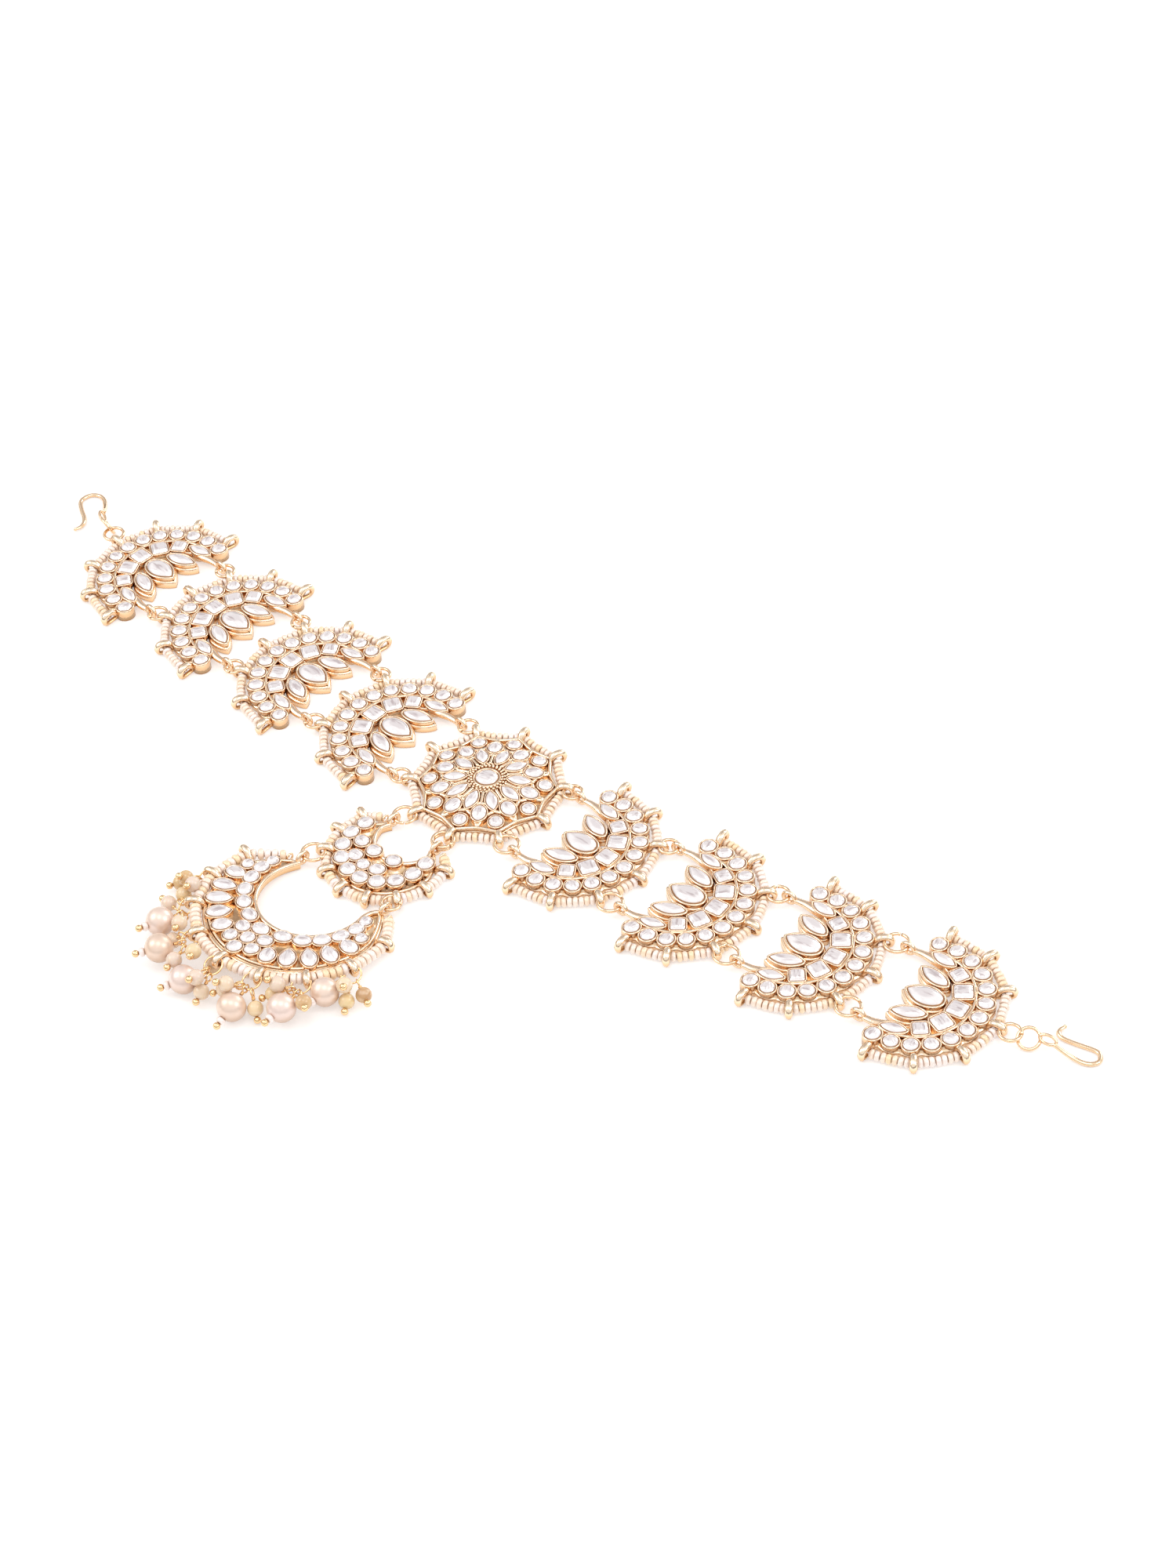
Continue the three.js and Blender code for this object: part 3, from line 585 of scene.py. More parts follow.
def bandSection(web, field, steps):
    # rows of share across, shift, level, tone, and how much of the dips it takes
    middle = [(s, 0, field, 0.68, 1) for s in np.linspace(0, 1, steps)[1:-1]]
    return [
        (0, 0.25, 0, 0.2, 0), (0, 0, 0.25, 0.4, 0), (0, 0, web - 0.3, 0.85, 0), (0, 0.25, web, 0.9, 0),
        (0, 0.5, web + 0.05, 0.5, 0), (0, 0.62, field - 0.2, 0.6, 0), (0, 0.8, field, 0.7, 0.4), *middle,
        (1, -0.55, field, 0.7, 0.3), (1, -0.2, field - 0.15, 0.85, 0), (1, 0, field - 0.5, 0.6, 0),
        (1, 0, 0.3, 0.15, 0), (1, -0.25, 0, 0.1, 0),
    ]


def hollowsBetween(centres, reach, fade=0.7):
    # 1 far from every stone and 0 under one, eased
    def dips(flat):
        return eased((np.linalg.norm(flat[:, :, None] - centres[None, None], axis=-1).min(-1) - reach) / fade)
    return dips


# A post is a finger of metal that goes over the beads and back beneath them: its path is (distance
# out, height), and its wire is thin where it lies on the plate.
post = dict(
    path=[(-2.4, 1.1), (-1.5, 2.2), (-0.95, 2.65), (0.0, 2.8), (0.95, 2.5), (1.33, 1.7), (1.2, 0.75),
             (0.5, 0.38), (-0.8, 0.4), (-2.2, 0.5)],
    radius=0.66, foot=0.40, footTop=0.5, fullAt=1.7, flat=1.25, toneFrom=0.3, toneRise=1.6, footTone=0.25,
)


def postLoop(post):
    path = smoothPath([(x, 0, z) for x, z in post["path"]], 3, loops=True)
    grown = np.clip((path[:, 2] - post["footTop"]) / (post["fullAt"] - post["footTop"]), 0, 1)
    # the tone rises with height, so the finish paints shade on the low foot
    risen = np.clip((path[:, 2] - post["toneFrom"]) / post["toneRise"], 0, 1)
    tone = post["footTone"] + (1 - post["footTone"]) * risen
    thick = post["foot"] + (post["radius"] - post["foot"]) * grown
    return tube(path, thick, side=(0, 1, 0), loops=True, flat=post["flat"], tone=tone)


def postsAt(places, faces):
    return scattered(postLoop(post), turnZ(faces), level(places, 0), np.full(len(places), 0.5))


def edgePosts(edge):
    # where the posts of a crescent's rim stand, and the ways they face
    degrees = np.arange(-edge["posts"], edge["posts"] + 1) * edge["postStep"]
    return outward(edge["postRadius"], degrees, edge.get("rimY", 0.0)), degrees - 90


# Seed beads: inset is how far inside the posts their thread runs, clear the room that a post takes.
# The profile is (station, radius, tone), the first two as shares of the bead's length and radius; the finish
# paints shade where the tone is low, at the necks.
seed = dict(
    radius=1.07, long=1.15, z=1.22, inset=0.4, clear=0.62, thread=0.16, sides=10,
    profile=[(-0.5, 0.48, 0.0), (-0.43, 0.76, 0.45), (-0.25, 0.93, 0.9), (0, 1.0, 1.0),
                (0.25, 0.93, 0.9), (0.43, 0.76, 0.45), (0.5, 0.48, 0.0)],
    play=(0.025, 0.05, 0.03), lean=0.05, spare=0.15,
)


def seedBead(radius, long):
    # a lathe about x
    x, r, tone = np.array(seed["profile"]).T[:, :, None]
    c, s = circle(seed["sides"])
    r = r * radius
    return solid(np.stack([np.broadcast_to(x * long, (len(x), len(c))), r * c, r * s], -1), tone)


def basisAlong(ways):
    # columns: the way itself, the level way square to it, and the third
    across = unit(np.cross([0, 0, 1.0], ways))
    return np.stack([ways, across, np.cross(ways, across)], -1)


def beadString(stops, loops=False, sag=0.32, grow=1.0):
    # beads threaded end to end between neighbouring stops, with a little play
    radius, long = seed["radius"] * grow, seed["long"] * grow
    shifts, ways = [], []
    for start, end in zip(stops, np.roll(stops, -1, 0) if loops else stops[1:]):
        length = np.linalg.norm(end - start)
        room = length - 2 * seed["clear"]
        count = max(1, int(round(room / long - seed["spare"])))
        along = (seed["clear"] + room * (np.arange(count) + 0.5) / count)[:, None]
        way = unit(end - start)
        side = np.array([way[1], -way[0], 0])
        bow = np.sin(np.pi * along / length) * sag
        play = chance.normal(0, 1, (count, 3)) * seed["play"]
        shifts.append(start + way * along + side * bow + play)
        ways.append(unit(way + chance.normal(0, seed["lean"], (count, 3))))
    shifts, ways = np.vstack(shifts), np.vstack(ways)
    # a larger bead rests as low as it can without going through the floor
    shifts[:, 2] = np.maximum(shifts[:, 2] + radius - seed["radius"], radius)
    beads = scattered(seedBead(radius, long), basisAlong(ways), shifts, chance.beta(1.0, 1.1, len(shifts)))
    return gathered([beads, tube(stops, seed["thread"], 5, loops=loops, shade=0.2)])


def stringStops(places, faces, ends=()):
    stops = level(places - polar(seed["inset"], faces), seed["z"])
    if len(ends):
        first, last = level(ends, seed["z"])
        stops = np.vstack([first, stops, last])
    return stops


hornEye = dict(z=2.0, long=1.3, high=1.2, thick=0.5, steps=20, tone=0.9)


def hornLoop(x, y, e=hornEye):
    # an upright loop at the end of a horn, its hole along x
    u, v = np.array([0, e["long"], 0]), np.array([0, 0, e["high"]])
    return closedRing((x, y, e["z"]), u, v, e["thick"], e["steps"], tone=e["tone"])


def placing(place):
    # lifts a casting about a level line through its hinge, turns it to face its way, and puts it there
    tilt = np.radians(place.get("tilt", 0.0))
    lift = np.array([[1, 0, 0], [0, np.cos(tilt), np.sin(tilt)], [0, -np.sin(tilt), np.cos(tilt)]])
    hinge = np.array([0, place.get("hinge", 0.0), 0])
    return whole(turnZ(place["facing"] + 90), (place["x"], place["y"], 0)) @ whole(lift, hinge - lift @ hinge)


def casting(name, metal, gems, beads, place):
    matrix = placing(place)
    piece(name + "_gold", moved(metal, matrix), castGold, [name])
    piece(name + "_stones", moved(gems, matrix), foiledStone)
    piece(name + "_seeds", moved(beads, matrix), seedGlass, [name + "_beads"])


print("arm crescents")
crescent = dict(
    steps=131, end=100, edge=15.05, scallop=0.6, throat=6.9, throatGrow=2.2, hornFrom=86, hornGrow=2.3,
    web=1.3, field=2.3, reach=1.75, postRadius=17.8, postStep=31.6, posts=3,
    # the low ridge between the two rows of stones
    ridge=11.55, ridgeEnd=84, ridgeThick=0.36, ridgeLift=0.02, ridgeSteps=60,
    # the bar from the plate to each horn's loop: its path on the right hand, and its radius at both ends
    arm=[(9.6, -1.2, 1.5), (9.75, 1.2, 1.75), (10.2, 3.6, 1.75), (10.15, 6.1, 1.8)], armThick=(1.2, 0.7),
    hornX=10.1, hornY=7.15,
)
# The row of round stones along the edge; the collars of the last ones, over the horns, reach lower.
rounds = dict(
    each=6, step=16.5, at=13.7, size=3.25, oval=1.03, vary=0.06, turn=20, lastFrom=95, lastLow=0.1,
    seat=dict(low=1.6, top=2.72, height=0.72),
)
# The square stones inside it: angle from the outward way, distance out, side.
squares = [(0, 9.0, 3.95), (29.5, 9.15, 3.95), (-29.5, 9.15, 3.95), (57, 9.55, 3.3), (-57, 9.55, 3.3)]
squareWide, squareCut = 0.97, dict(square=6.5, count=36)
squareSeat = dict(low=1.5, top=2.78, height=0.7, wide=0.34, table=True)
# Leaves and petals on the right hand: a stone (length, width, tip, heel, lean), where it lies and the way
# it points, and for a petal the tall cup under it, whose wall is (out from its edge, height).
leaf = dict(
    stone=(5.5, 2.5, 1.7, 1.7), at=(10.3, -0.6), way=(1.09, 5.48),
    seat=dict(low=1.2, top=2.72, height=0.62, wide=0.44),
)
sidePetal = dict(
    stone=(6.9, 3.0, 1.7, 1.35, 0.05), at=(5.35, -1.2), way=(2.1, 6.55),
    seat=dict(low=1.3, top=2.8, height=0.72, wide=0.5),
    cup=(8.7, 4.7, 1.6, 1.3, 0.06), cupAt=(5.42, -1.05),
    wall=[(-0.2, 0), (0, 0.2), (0, 1.4), (-0.15, 1.65), (-0.5, 1.75)],
)
middlePetal = dict(
    stone=(7.9, 4.8, 1.75, 1.0, 0.12), at=(0, -1.9), way=(0, 1),
    seat=dict(low=1.4, top=2.85, height=0.95, wide=0.52),
    cup=(10.0, 6.7, 1.75, 1.05, 0.1), cupAt=(0, -1.75),
    wall=[(-0.2, 0), (0, 0.2), (0, 1.5), (-0.18, 1.8), (-0.6, 1.9)],
)
cupTones = [0.2, 0.4, 0.9, 0.95, 0.5]


def addPetal(made, petal, hand):
    heading = np.degrees(np.arctan2(petal["way"][1], hand * petal["way"][0]))
    if "cup" in petal:
        x, y = petal["cupAt"]
        cup = raised(cut(*petal["cup"]), petal["wall"], cupTones)
        made.add(moved(cup, standing(hand * x, y, 0, heading)))
    x, y = petal["at"]
    made.seat(cut(*petal["stone"]), hand * x, y, heading, **petal["seat"])


def crescentShapes(c):
    made = Casting()
    degrees = np.linspace(-c["end"], c["end"], c["steps"])
    # the edge swells over each round stone, and the throat widens towards the horns
    lobe = np.cos(np.pi * (degrees / rounds["step"] - np.round(degrees / rounds["step"])))
    outer = outward(c["edge"] + c["scallop"] * np.maximum(lobe, 0) ** 0.7, degrees)
    late = np.clip((np.abs(degrees) - c["hornFrom"]) / (c["end"] - c["hornFrom"]), 0, 1)
    throat = c["throat"] + c["throatGrow"] * (np.abs(degrees) / 90) ** 2 + c["hornGrow"] * late ** 2
    roundTurns = np.arange(-rounds["each"], rounds["each"] + 1) * rounds["step"]
    roundAt = outward(rounds["at"], roundTurns)
    squareAt = np.array([outward(far, degree) for degree, far, _ in squares])
    x, y = leaf["at"]
    dips = hollowsBetween(np.vstack([roundAt, squareAt, [[x, y], [-x, y]]]), c["reach"])
    made.add(bandOf(outer, outward(throat, degrees), bandSection(c["web"], c["field"], 16), dips))
    line = outward(c["ridge"], np.linspace(-c["ridgeEnd"], c["ridgeEnd"], c["ridgeSteps"]))
    line = level(line, c["field"] + c["ridgeLift"])
    made.add(tube(line, c["ridgeThick"], 6, flat=0.8, tone=0.95))
    for degree, (x, y) in zip(roundTurns, roundAt):
        size = rounds["size"] + chance.normal(0, rounds["vary"])
        seat = rounds["seat"]
        if abs(degree) > rounds["lastFrom"]:
            seat = seat | dict(low=rounds["lastLow"])
        turn = degree - 90 + chance.normal(0, rounds["turn"])
        made.seat(cut(size * rounds["oval"], size * (2 - rounds["oval"])), x, y, turn, **seat)
    for (degree, _, side), (x, y) in zip(squares, squareAt):
        made.seat(cut(side, side * squareWide, **squareCut), x, y, degree - 90, **squareSeat)
    for hand in (1, -1):
        addPetal(made, leaf, hand)
        addPetal(made, sidePetal, hand)
        arm = smoothPath(c["arm"], 5) * [hand, 1, 1]
        made.add(tube(arm, np.linspace(*c["armThick"], len(arm)), flat=0.85, tone=0.85))
        made.add(hornLoop(hand * c["hornX"], c["hornY"]))
    addPetal(made, middlePetal, 1)
    made.add(postsAt(*edgePosts(c)))
    return made.shapes()


# Where each arm's crescents lie, from the medallion outwards: x, y and the way they face.
armRows = dict(
    right=[(25.1, 0.1, 3.3), (51.6, 3.5, 8.7), (78.2, 8.5, 11.7), (105.1, 13.7, 12.3)],
    left=[(-24.5, -1.0, 180.8), (-50.7, -1.3, 180.0), (-76.8, -0.7, 179.3), (-103.0, -0.2, 178.5)],
)
arms = {side: [dict(zip(("x", "y", "facing"), row)) for row in rows] for side, rows in armRows.items()}
crescentStops = stringStops(*edgePosts(crescent))
for side, places in arms.items():
    for i, place in enumerate(places):
        casting(f"crescent_{side}_{i + 1}", *crescentShapes(crescent), beadString(crescentStops), place)

print("medallion")
medallion = dict(
    place=dict(x=0, y=0, facing=-90),
    steps=160, tips=10, tip=15.1, tipCurve=1.7, valley=13.6, postRadius=16.6, sag=0.25,
    wall=[(-0.3, 0), (0, 0.25), (0.02, 1.0), (-0.12, 1.35), (-0.5, 1.5), (-1.0, 1.45)],
    wallTones=[0.2, 0.4, 0.85, 0.95, 0.8, 0.4], rimInset=0.42, rimZ=1.95, rimThick=0.42,
    # the domed field, a lathe of (radius, height); beyond pointFrom it follows the ten points
    field=[(13.2, 1.2), (13.1, 1.75), (12.6, 1.85), (11.6, 2.0), (10.6, 2.2), (9.4, 2.45), (8.0, 2.7),
              (6.4, 2.95), (4.8, 3.2), (3.2, 3.35), (0.5, 3.4)],
    fieldTone=0.36, pointFrom=11, pointOver=2,
    # ridges meet at knots, each (distance, height), and are as thick as this
    atValley=(13.1, 1.95), atPetal=(9.4, 2.75), atLeaf=(7.2, 3.15), atHeart=(4.2, 3.6),
    ridgeThick=(0.50, 0.47, 0.42), ridgeBow=(-0.10, 0.14),
    heart=(5.0, 4.7), heartTurn=20, heartSeat=dict(low=3.2, top=4.05, height=0.85, wide=0.6),
    collar=(8.4, 8.2), collarWall=[(-0.2, 2.9), (0, 3.1), (-0.1, 3.5), (-0.6, 3.72), (-1.2, 3.75)],
    collarTones=[0.3, 0.6, 0.9, 0.9, 0.5],
    # grains round the heart lie in three rings in turn
    grains=78, grain=0.34, grainRing=3.3, grainApart=0.48, grainZ=4.0, grainFall=0.3,
)
# The stones of the ten rays: half is 1 for a ray that runs to a valley, at the distance out.
rayStones = [
    dict(half=0, at=12.2, cut=(3.0, 3.0),
     seat=dict(low=1.5, top=2.85, height=0.66, wide=0.34, lean=9)),
    dict(half=1, at=9.9, cut=(4.0, 3.15, 1.12, 1.12),
     seat=dict(low=2.0, top=3.35, height=0.72, wide=0.36, lean=10)),
    dict(half=0, at=6.85, cut=(5.1, 2.55, 1.75, 1.75),
     seat=dict(low=2.4, top=3.85, height=0.62, wide=0.34, lean=8)),
]


def ridge(start, startTurn, end, endTurn, bow, thick):
    # a line of metal from one knot to another, bowed to one side
    p0, p1 = polar(start[0], startTurn), polar(end[0], endTurn)
    t = np.linspace(0, 1, 9)
    side = np.array([p0[1] - p1[1], p1[0] - p0[0]])
    flat = p0 + (p1 - p0) * t[:, None] + side * (bow * np.sin(np.pi * t))[:, None]
    return tube(np.column_stack([flat, start[1] + (end[1] - start[1]) * t]), thick, 6, flat=1.35)


def medallionShapes(m):
    made = Casting()
    step = 360 / m["tips"]
    tipTurns = 180 - step * np.arange(m["tips"])
    degrees = 360 * np.arange(m["steps"]) / m["steps"]
    toTip = np.abs(degrees / step - np.round(degrees / step)) * 2
    radius = m["valley"] + (m["tip"] - m["valley"]) * (1 - toTip) ** m["tipCurve"]
    outline = polar(radius, degrees)
    made.add(raised(outline, m["wall"], m["wallTones"]))
    rim = level(outline * ((radius - m["rimInset"]) / radius)[:, None], m["rimZ"])
    made.add(tube(rim, m["rimThick"], loops=True, flat=1.35))
    r, z = np.array(m["field"]).T[:, :, None]
    r = r + (radius - m["valley"]) * np.clip((r - m["pointFrom"]) / m["pointOver"], 0, 1)
    field = lifted(polar(r, degrees), z[..., None])
    made.add(solid(np.concatenate([field[:1] * [1, 1, 0.2], field]), m["fieldTone"]))
    (outerThick, innerThick, lastThick), (outerBow, innerBow) = m["ridgeThick"], m["ridgeBow"]
    for degree in tipTurns:
        half = degree + step / 2
        for hand in (1, -1):
            turn = degree + step / 2 * hand
            made.add(ridge(m["atValley"], turn, m["atPetal"], degree, outerBow * hand, outerThick))
            made.add(ridge(m["atPetal"], degree, m["atLeaf"], turn, innerBow * hand, innerThick))
        made.add(ridge(m["atLeaf"], half, m["atHeart"], half, 0.0, lastThick))
        for ray in rayStones:
            turn = half if ray["half"] else degree
            made.seat(cut(*ray["cut"]), *polar(ray["at"], turn), turn, **ray["seat"])
    made.add(raised(cut(*m["collar"], count=40), m["collarWall"], m["collarTones"]))
    made.seat(cut(*m["heart"]), 0, 0, m["heartTurn"], **m["heartSeat"])
    turns = 360 * np.arange(m["grains"]) / m["grains"]
    out = m["grainApart"] * (np.arange(m["grains"]) % 3)
    places = np.column_stack([polar(m["grainRing"] + out, turns), m["grainZ"] - m["grainFall"] * out])
    made.add(scattered(ball(m["grain"], 4, 6), turnZ(0 * turns), places, np.full(m["grains"], 0.5)))
    postAt = polar(m["postRadius"], tipTurns)
    made.add(postsAt(postAt, tipTurns))
    return *made.shapes(), beadString(stringStops(postAt, tipTurns), loops=True, sag=m["sag"])


casting("medallion", *medallionShapes(medallion), medallion["place"])

print("pendant crescents")
# A lune lies between its rim's arc and its hole's, each a radius, its centre's y and how far round it
# goes. Its stones are made larger by the scale and moved by the shift. The wires are (edge, height,
# radius, how far in from that edge), and a retreat is (how far, from which degree, over how many, power).
lune = dict(
    web=1.1, field=1.85, reach=1.6, hornDrop=1.35, hornApart=0.75, low=1.0, height=0.95,
    collar=0.3, pointed=1.2, lean=0.08, eyeRadius=0.8, eyeZ=1.1, eyeThick=0.25,
)
smallPendant = lune | dict(
    steps=90, rimRadius=11.2, rimY=0.0, holeRadius=6.7, holeY=5.6, rimEnd=108,
    holeEnd=92, horns=[(-6.4, 7.6), (6.4, 7.6)], postRadius=13.3, postStep=27.3, posts=4,
    stringEnds=[(-8.6, 7.2), (8.6, 7.2)], scale=1.09, shift=(-0.65, 0.3), top=2.75, beadGrow=1.1,
    retreat=(2.3, 8, 84, 0.6), narrowFrom=0.86,
    wires=[("outer", 1.3, 0.45, 0.35), ("inner", 1.7, 0.5, -0.35)],
    place=dict(x=-0.6, y=-27.8, facing=-90),
)
largePendant = lune | dict(
    steps=130, rimRadius=18.9, rimY=-1.2, holeRadius=11.4, holeY=3.3, rimEnd=112,
    holeEnd=122, horns=[(-10.6, 10.4), (13.0, 10.8)], postRadius=21.0, postStep=25.8, posts=4,
    stringEnds=[(-13.4, 9.4), (15.0, 9.8)], scale=1.13, shift=(-0.3, -0.1), top=2.6, beadGrow=1.2,
    narrowFrom=0.85,
    wires=[("outer", 1.2, 0.45, 0.35), ("outer", 1.65, 0.36, 1.3), ("inner", 1.7, 0.5, -0.35)],
    place=dict(x=-2.0, y=-50.5, facing=-88.2, tilt=6, hinge=10.8),
)
# Stones: x, y, length, width, heading of the pointed end, how pointed.
smallStones = [
    *[(*outward(9.35, turn * hand), 3.35, 3.15, turn * hand, 1.0)
      for turn in (11, 34.5, 58, 81.5, 105) for hand in (1, -1)],
    (-5.6, -1.7, 3.1, 2.9, 0, 1.0), (-3.6, -5.4, 3.1, 2.9, 0, 1.0), (-1.65, -2.0, 3.2, 3.0, 0, 1.0),
    (-0.4, -6.2, 2.7, 2.6, 0, 1.0), (2.8, -5.3, 3.2, 2.9, 30, 1.0), (3.5, -1.4, 3.2, 2.9, 20, 1.0),
]
# The right half, and the middle where x is 0; each stone on the right has a mirrored one on the left.
halfStones = [
    (0, -17.9, 3.0, 2.9, 90, 1.0), (3.1, -16.1, 2.9, 2.7, 80, 1.0), (6.6, -15.1, 3.9, 3.0, 118, 1.3),
    (10.0, -12.9, 4.7, 3.1, 126, 1.7), (13.1, -10.0, 4.9, 3.0, 142, 1.7), (15.2, -6.5, 4.7, 3.0, 156, 1.7),
    (16.4, -2.3, 4.1, 3.0, 170, 1.4), (16.5, 1.1, 2.5, 2.3, 90, 1.0),
    (0, -10.75, 3.6, 2.9, 0, 1.05), (4.8, -9.3, 3.6, 2.8, 20, 1.05), (8.5, -7.4, 3.5, 2.8, 38, 1.05),
    (11.2, -4.65, 3.5, 2.8, 58, 1.05), (13.0, -1.2, 3.5, 2.8, 75, 1.05), (13.8, 2.35, 3.3, 2.8, 88, 1.05),
    (13.5, 5.2, 2.6, 2.3, 100, 1.0),
    (0, -14.3, 2.9, 2.8, 90, 1.0), (3.2, -12.6, 3.0, 2.8, 30, 1.0),
]
largeStones = []
for x, y, long, wide, heading, tip in halfStones:
    largeStones.append((x, y, long, wide, heading, tip))
    if x > 0:
        largeStones.append((-x, y, long, wide, 180 - heading, tip))


def luneShapes(p, stones):
    made = Casting()
    t = np.linspace(-1, 1, p["steps"])
    outer = outward(p["rimRadius"], t * p["rimEnd"], p["rimY"])
    inner = outward(p["holeRadius"], t * p["holeEnd"], p["holeY"])
    # both edges ease over to the root of the horn, one either side of it
    late = eased((np.abs(t) - p["narrowFrom"]) / (1 - p["narrowFrom"]))[:, None]
    roots = np.where((t < 0)[:, None], *p["horns"]) - [0, p["hornDrop"]]
    apart = np.column_stack([np.sign(t) * p["hornApart"], 0 * t])
    outer = outer * (1 - late) + (roots + apart) * late
    inner = inner * (1 - late) + (roots - apart) * late
    across = unit(inner - outer)
    plate = outer
    if "retreat" in p:
        # where the rim stands clear of the plate, the plate's edge is drawn in
        most, start, reach, power = p["retreat"]
        clear = np.clip((t * p["rimEnd"] - start) / reach, 0, 1)
        plate = outer + across * (most * np.sin(np.pi * clear) ** power)[:, None]
    dips = hollowsBetween(np.array([row[:2] for row in stones]), p["reach"])
    made.add(bandOf(plate, inner, bandSection(p["web"], p["field"], 18), dips))
    for edge, z, thick, inset in p["wires"]:
        line = (outer if edge == "outer" else inner) + across * inset
        made.add(tube(level(line, z), thick, tone=0.95))
    for x, y, long, wide, heading, tip in stones:
        lean = p["lean"] if tip > p["pointed"] else 0.0
        outline = cut(long * p["scale"], wide * p["scale"], tip, lean=lean)
        x, y = x + p["shift"][0], y + p["shift"][1]
        made.seat(outline, x, y, heading, p["low"], p["top"], p["height"], p["collar"])
    for horn in p["horns"]:
        made.add(hornLoop(*horn))
    for x, y in p["stringEnds"]:
        u, v = np.array([0, p["eyeRadius"], 0]), np.array([0, 0, p["eyeRadius"]])
        made.add(closedRing((x, y, p["eyeZ"]), u, v, p["eyeThick"], 14, 6))
    places, faces = edgePosts(p)
    made.add(postsAt(places, faces))
    return *made.shapes(), beadString(stringStops(places, faces, p["stringEnds"]), grow=p["beadGrow"])


casting("small_crescent", *luneShapes(smallPendant, smallStones), smallPendant["place"])
casting("large_crescent", *luneShapes(largePendant, largeStones), largePendant["place"])

print("jump rings and hooks")
# spin is how far, in degrees, a ring's cut may lie from the line between its eyes
link = dict(least=2.0, most=2.55, wire=0.37, z=2.3, spin=(50, 130), pitch=0.62)
up = np.array([0, 0, 1.0])


def spot(place, xy, z=link["z"]):
    return (placing(place) @ np.array([*xy, z, 1.0]))[:3]


def medallionEye(k):
    return np.array([*polar(medallion["postRadius"], 180 - 360 / medallion["tips"] * k), link["z"]])


def postEye(crescent, place, k):
    return spot(place, outward(crescent["postRadius"], k * crescent["postStep"]))


def jumpRing(name, start, end, turns=1):
    # a ring round both eyes, of one turn or of more, one above another
    radius = np.clip(np.linalg.norm(start - end) / 2, link["least"], link["most"])
    way = unit((end - start) * [1, 1, 0])
    u = turnZ(chance.uniform(*link["spin"])) @ way
    lifts = (np.arange(turns) - (turns - 1) / 2) * link["pitch"]
    centre = (start + end) / 2
    rings = [cutRing(centre + lift * up, u, np.cross(up, u), radius, link["wire"]) for lift in lifts]
    piece(name + "_wire", gathered(rings), wireGold, [name])


# Each arm's first rings hang on two of the medallion's posts.
for side, firstPosts in (("right", {1: 4, -1: 6}), ("left", {1: 9, -1: 1})):
    for i, place in enumerate(arms[side]):
        for k in (1, -1):
            start = postEye(crescent, arms[side][i - 1], k) if i else medallionEye(firstPosts[k])
            edge = "upper" if (side == "right") == (k == 1) else "lower"
            end = spot(place, (k * crescent["hornX"], crescent["hornY"]))
            jumpRing(f"ring_{side}_{i + 1}_{edge}", start, end)
smallPlace, largePlace = smallPendant["place"], largePendant["place"]
for i, side, k, eyePost, turns in ((0, "left", -2, 8, 1), (1, "right", 2, 7, 2)):
    jumpRing(f"ring_pendant_{side}", medallionEye(eyePost), spot(smallPlace, smallPendant["horns"][i]), turns)
    start = postEye(smallPendant, smallPlace, k)
    jumpRing(f"ring_large_{side}", start, spot(largePlace, largePendant["horns"][i]))

# Each hook lies at its eye, pointing along its heading, and its wire runs from the eye and back. Before
# it come a flat ring and a rolled one, whose angle leads on from the flat ring.
hook = dict(
    ring=2.2, lead=3.65, eyeZ=2.25, eyeTilt=50, eyeLong=1.75, eyeWide=0.85, eyeWire=0.34,
    thick=0.50, thinner=0.16, thinFrom=0.85, flat=0.9, end=0.42,
)
hooks = dict(
    right=dict(
        ring=(125.2, 17.8), lead=25.6, roll=28, rolledZ=1.7, eye=(131.7, 21.1), heading=12,
        wire=[
            (1.5, -0.5, 0.0), (3.2, -0.55, -0.7), (5.5, -0.7, -1.35), (7.7, -0.7, -1.6), (9.4, -0.1, -1.7),
            (10.3, 1.25, -1.75), (9.7, 2.8, -1.75), (8.3, 3.35, -1.75), (5.0, 3.15, -1.75), (1.9, 3.1, -1.75),
            (0.5, 3.7, -1.7), (0.2, 4.7, -1.6), (0.7, 5.9, -1.5)],
    ),
    left=dict(
        ring=(-123.0, 1.25), lead=163, roll=65, rolledZ=2.3, eye=(-129.95, 3.6), heading=146,
        wire=[
            (1.5, -0.5, 0.0), (3.2, -0.7, -0.7), (5.8, -0.95, -1.4), (8.1, -0.95, -1.7), (9.9, -0.1, -1.75),
            (10.7, 1.8, -1.75), (10.0, 3.6, -1.75), (8.6, 4.5, -1.75), (5.9, 4.5, -1.75), (2.9, 4.2, -1.75),
            (0.9, 4.5, -1.7), (-0.3, 5.3, -1.65), (-1.1, 6.6, -1.5)],
    ),
)


def hookShapes(entry):
    flat = np.array([*entry["ring"], link["z"]])
    way, side, _ = turnZ(entry["lead"]).T
    rolled = flat + way * hook["lead"]
    rolled[2] = entry["rolledZ"]
    roll, tilt = np.radians([entry["roll"], hook["eyeTilt"]])
    u, v, _ = turnZ(entry["heading"]).T
    centre = np.array([*entry["eye"], hook["eyeZ"]])
    w = np.cos(tilt) * v + np.sin(tilt) * up
    run = smoothPath(centre + np.array(entry["wire"]) @ np.stack([u, v, up]), 5)
    share = np.linspace(0, 1, len(run))
    late = np.clip((share - hook["thinFrom"]) / (1 - hook["thinFrom"]), 0, 1)
    thick = hook["thick"] - hook["thinner"] * late
    flatRing = cutRing(flat, way, side, hook["ring"], link["wire"])
    return flatRing, gathered([
        cutRing(rolled, way, np.cos(roll) * side + np.sin(roll) * up, hook["ring"], link["wire"]),
        closedRing(centre, hook["eyeLong"] * u, hook["eyeWide"] * w, hook["eyeWire"], 28),
        tube(run, thick, flat=hook["flat"]), moved(ball(hook["end"], 5, 8), standing(*run[-1])),
    ])


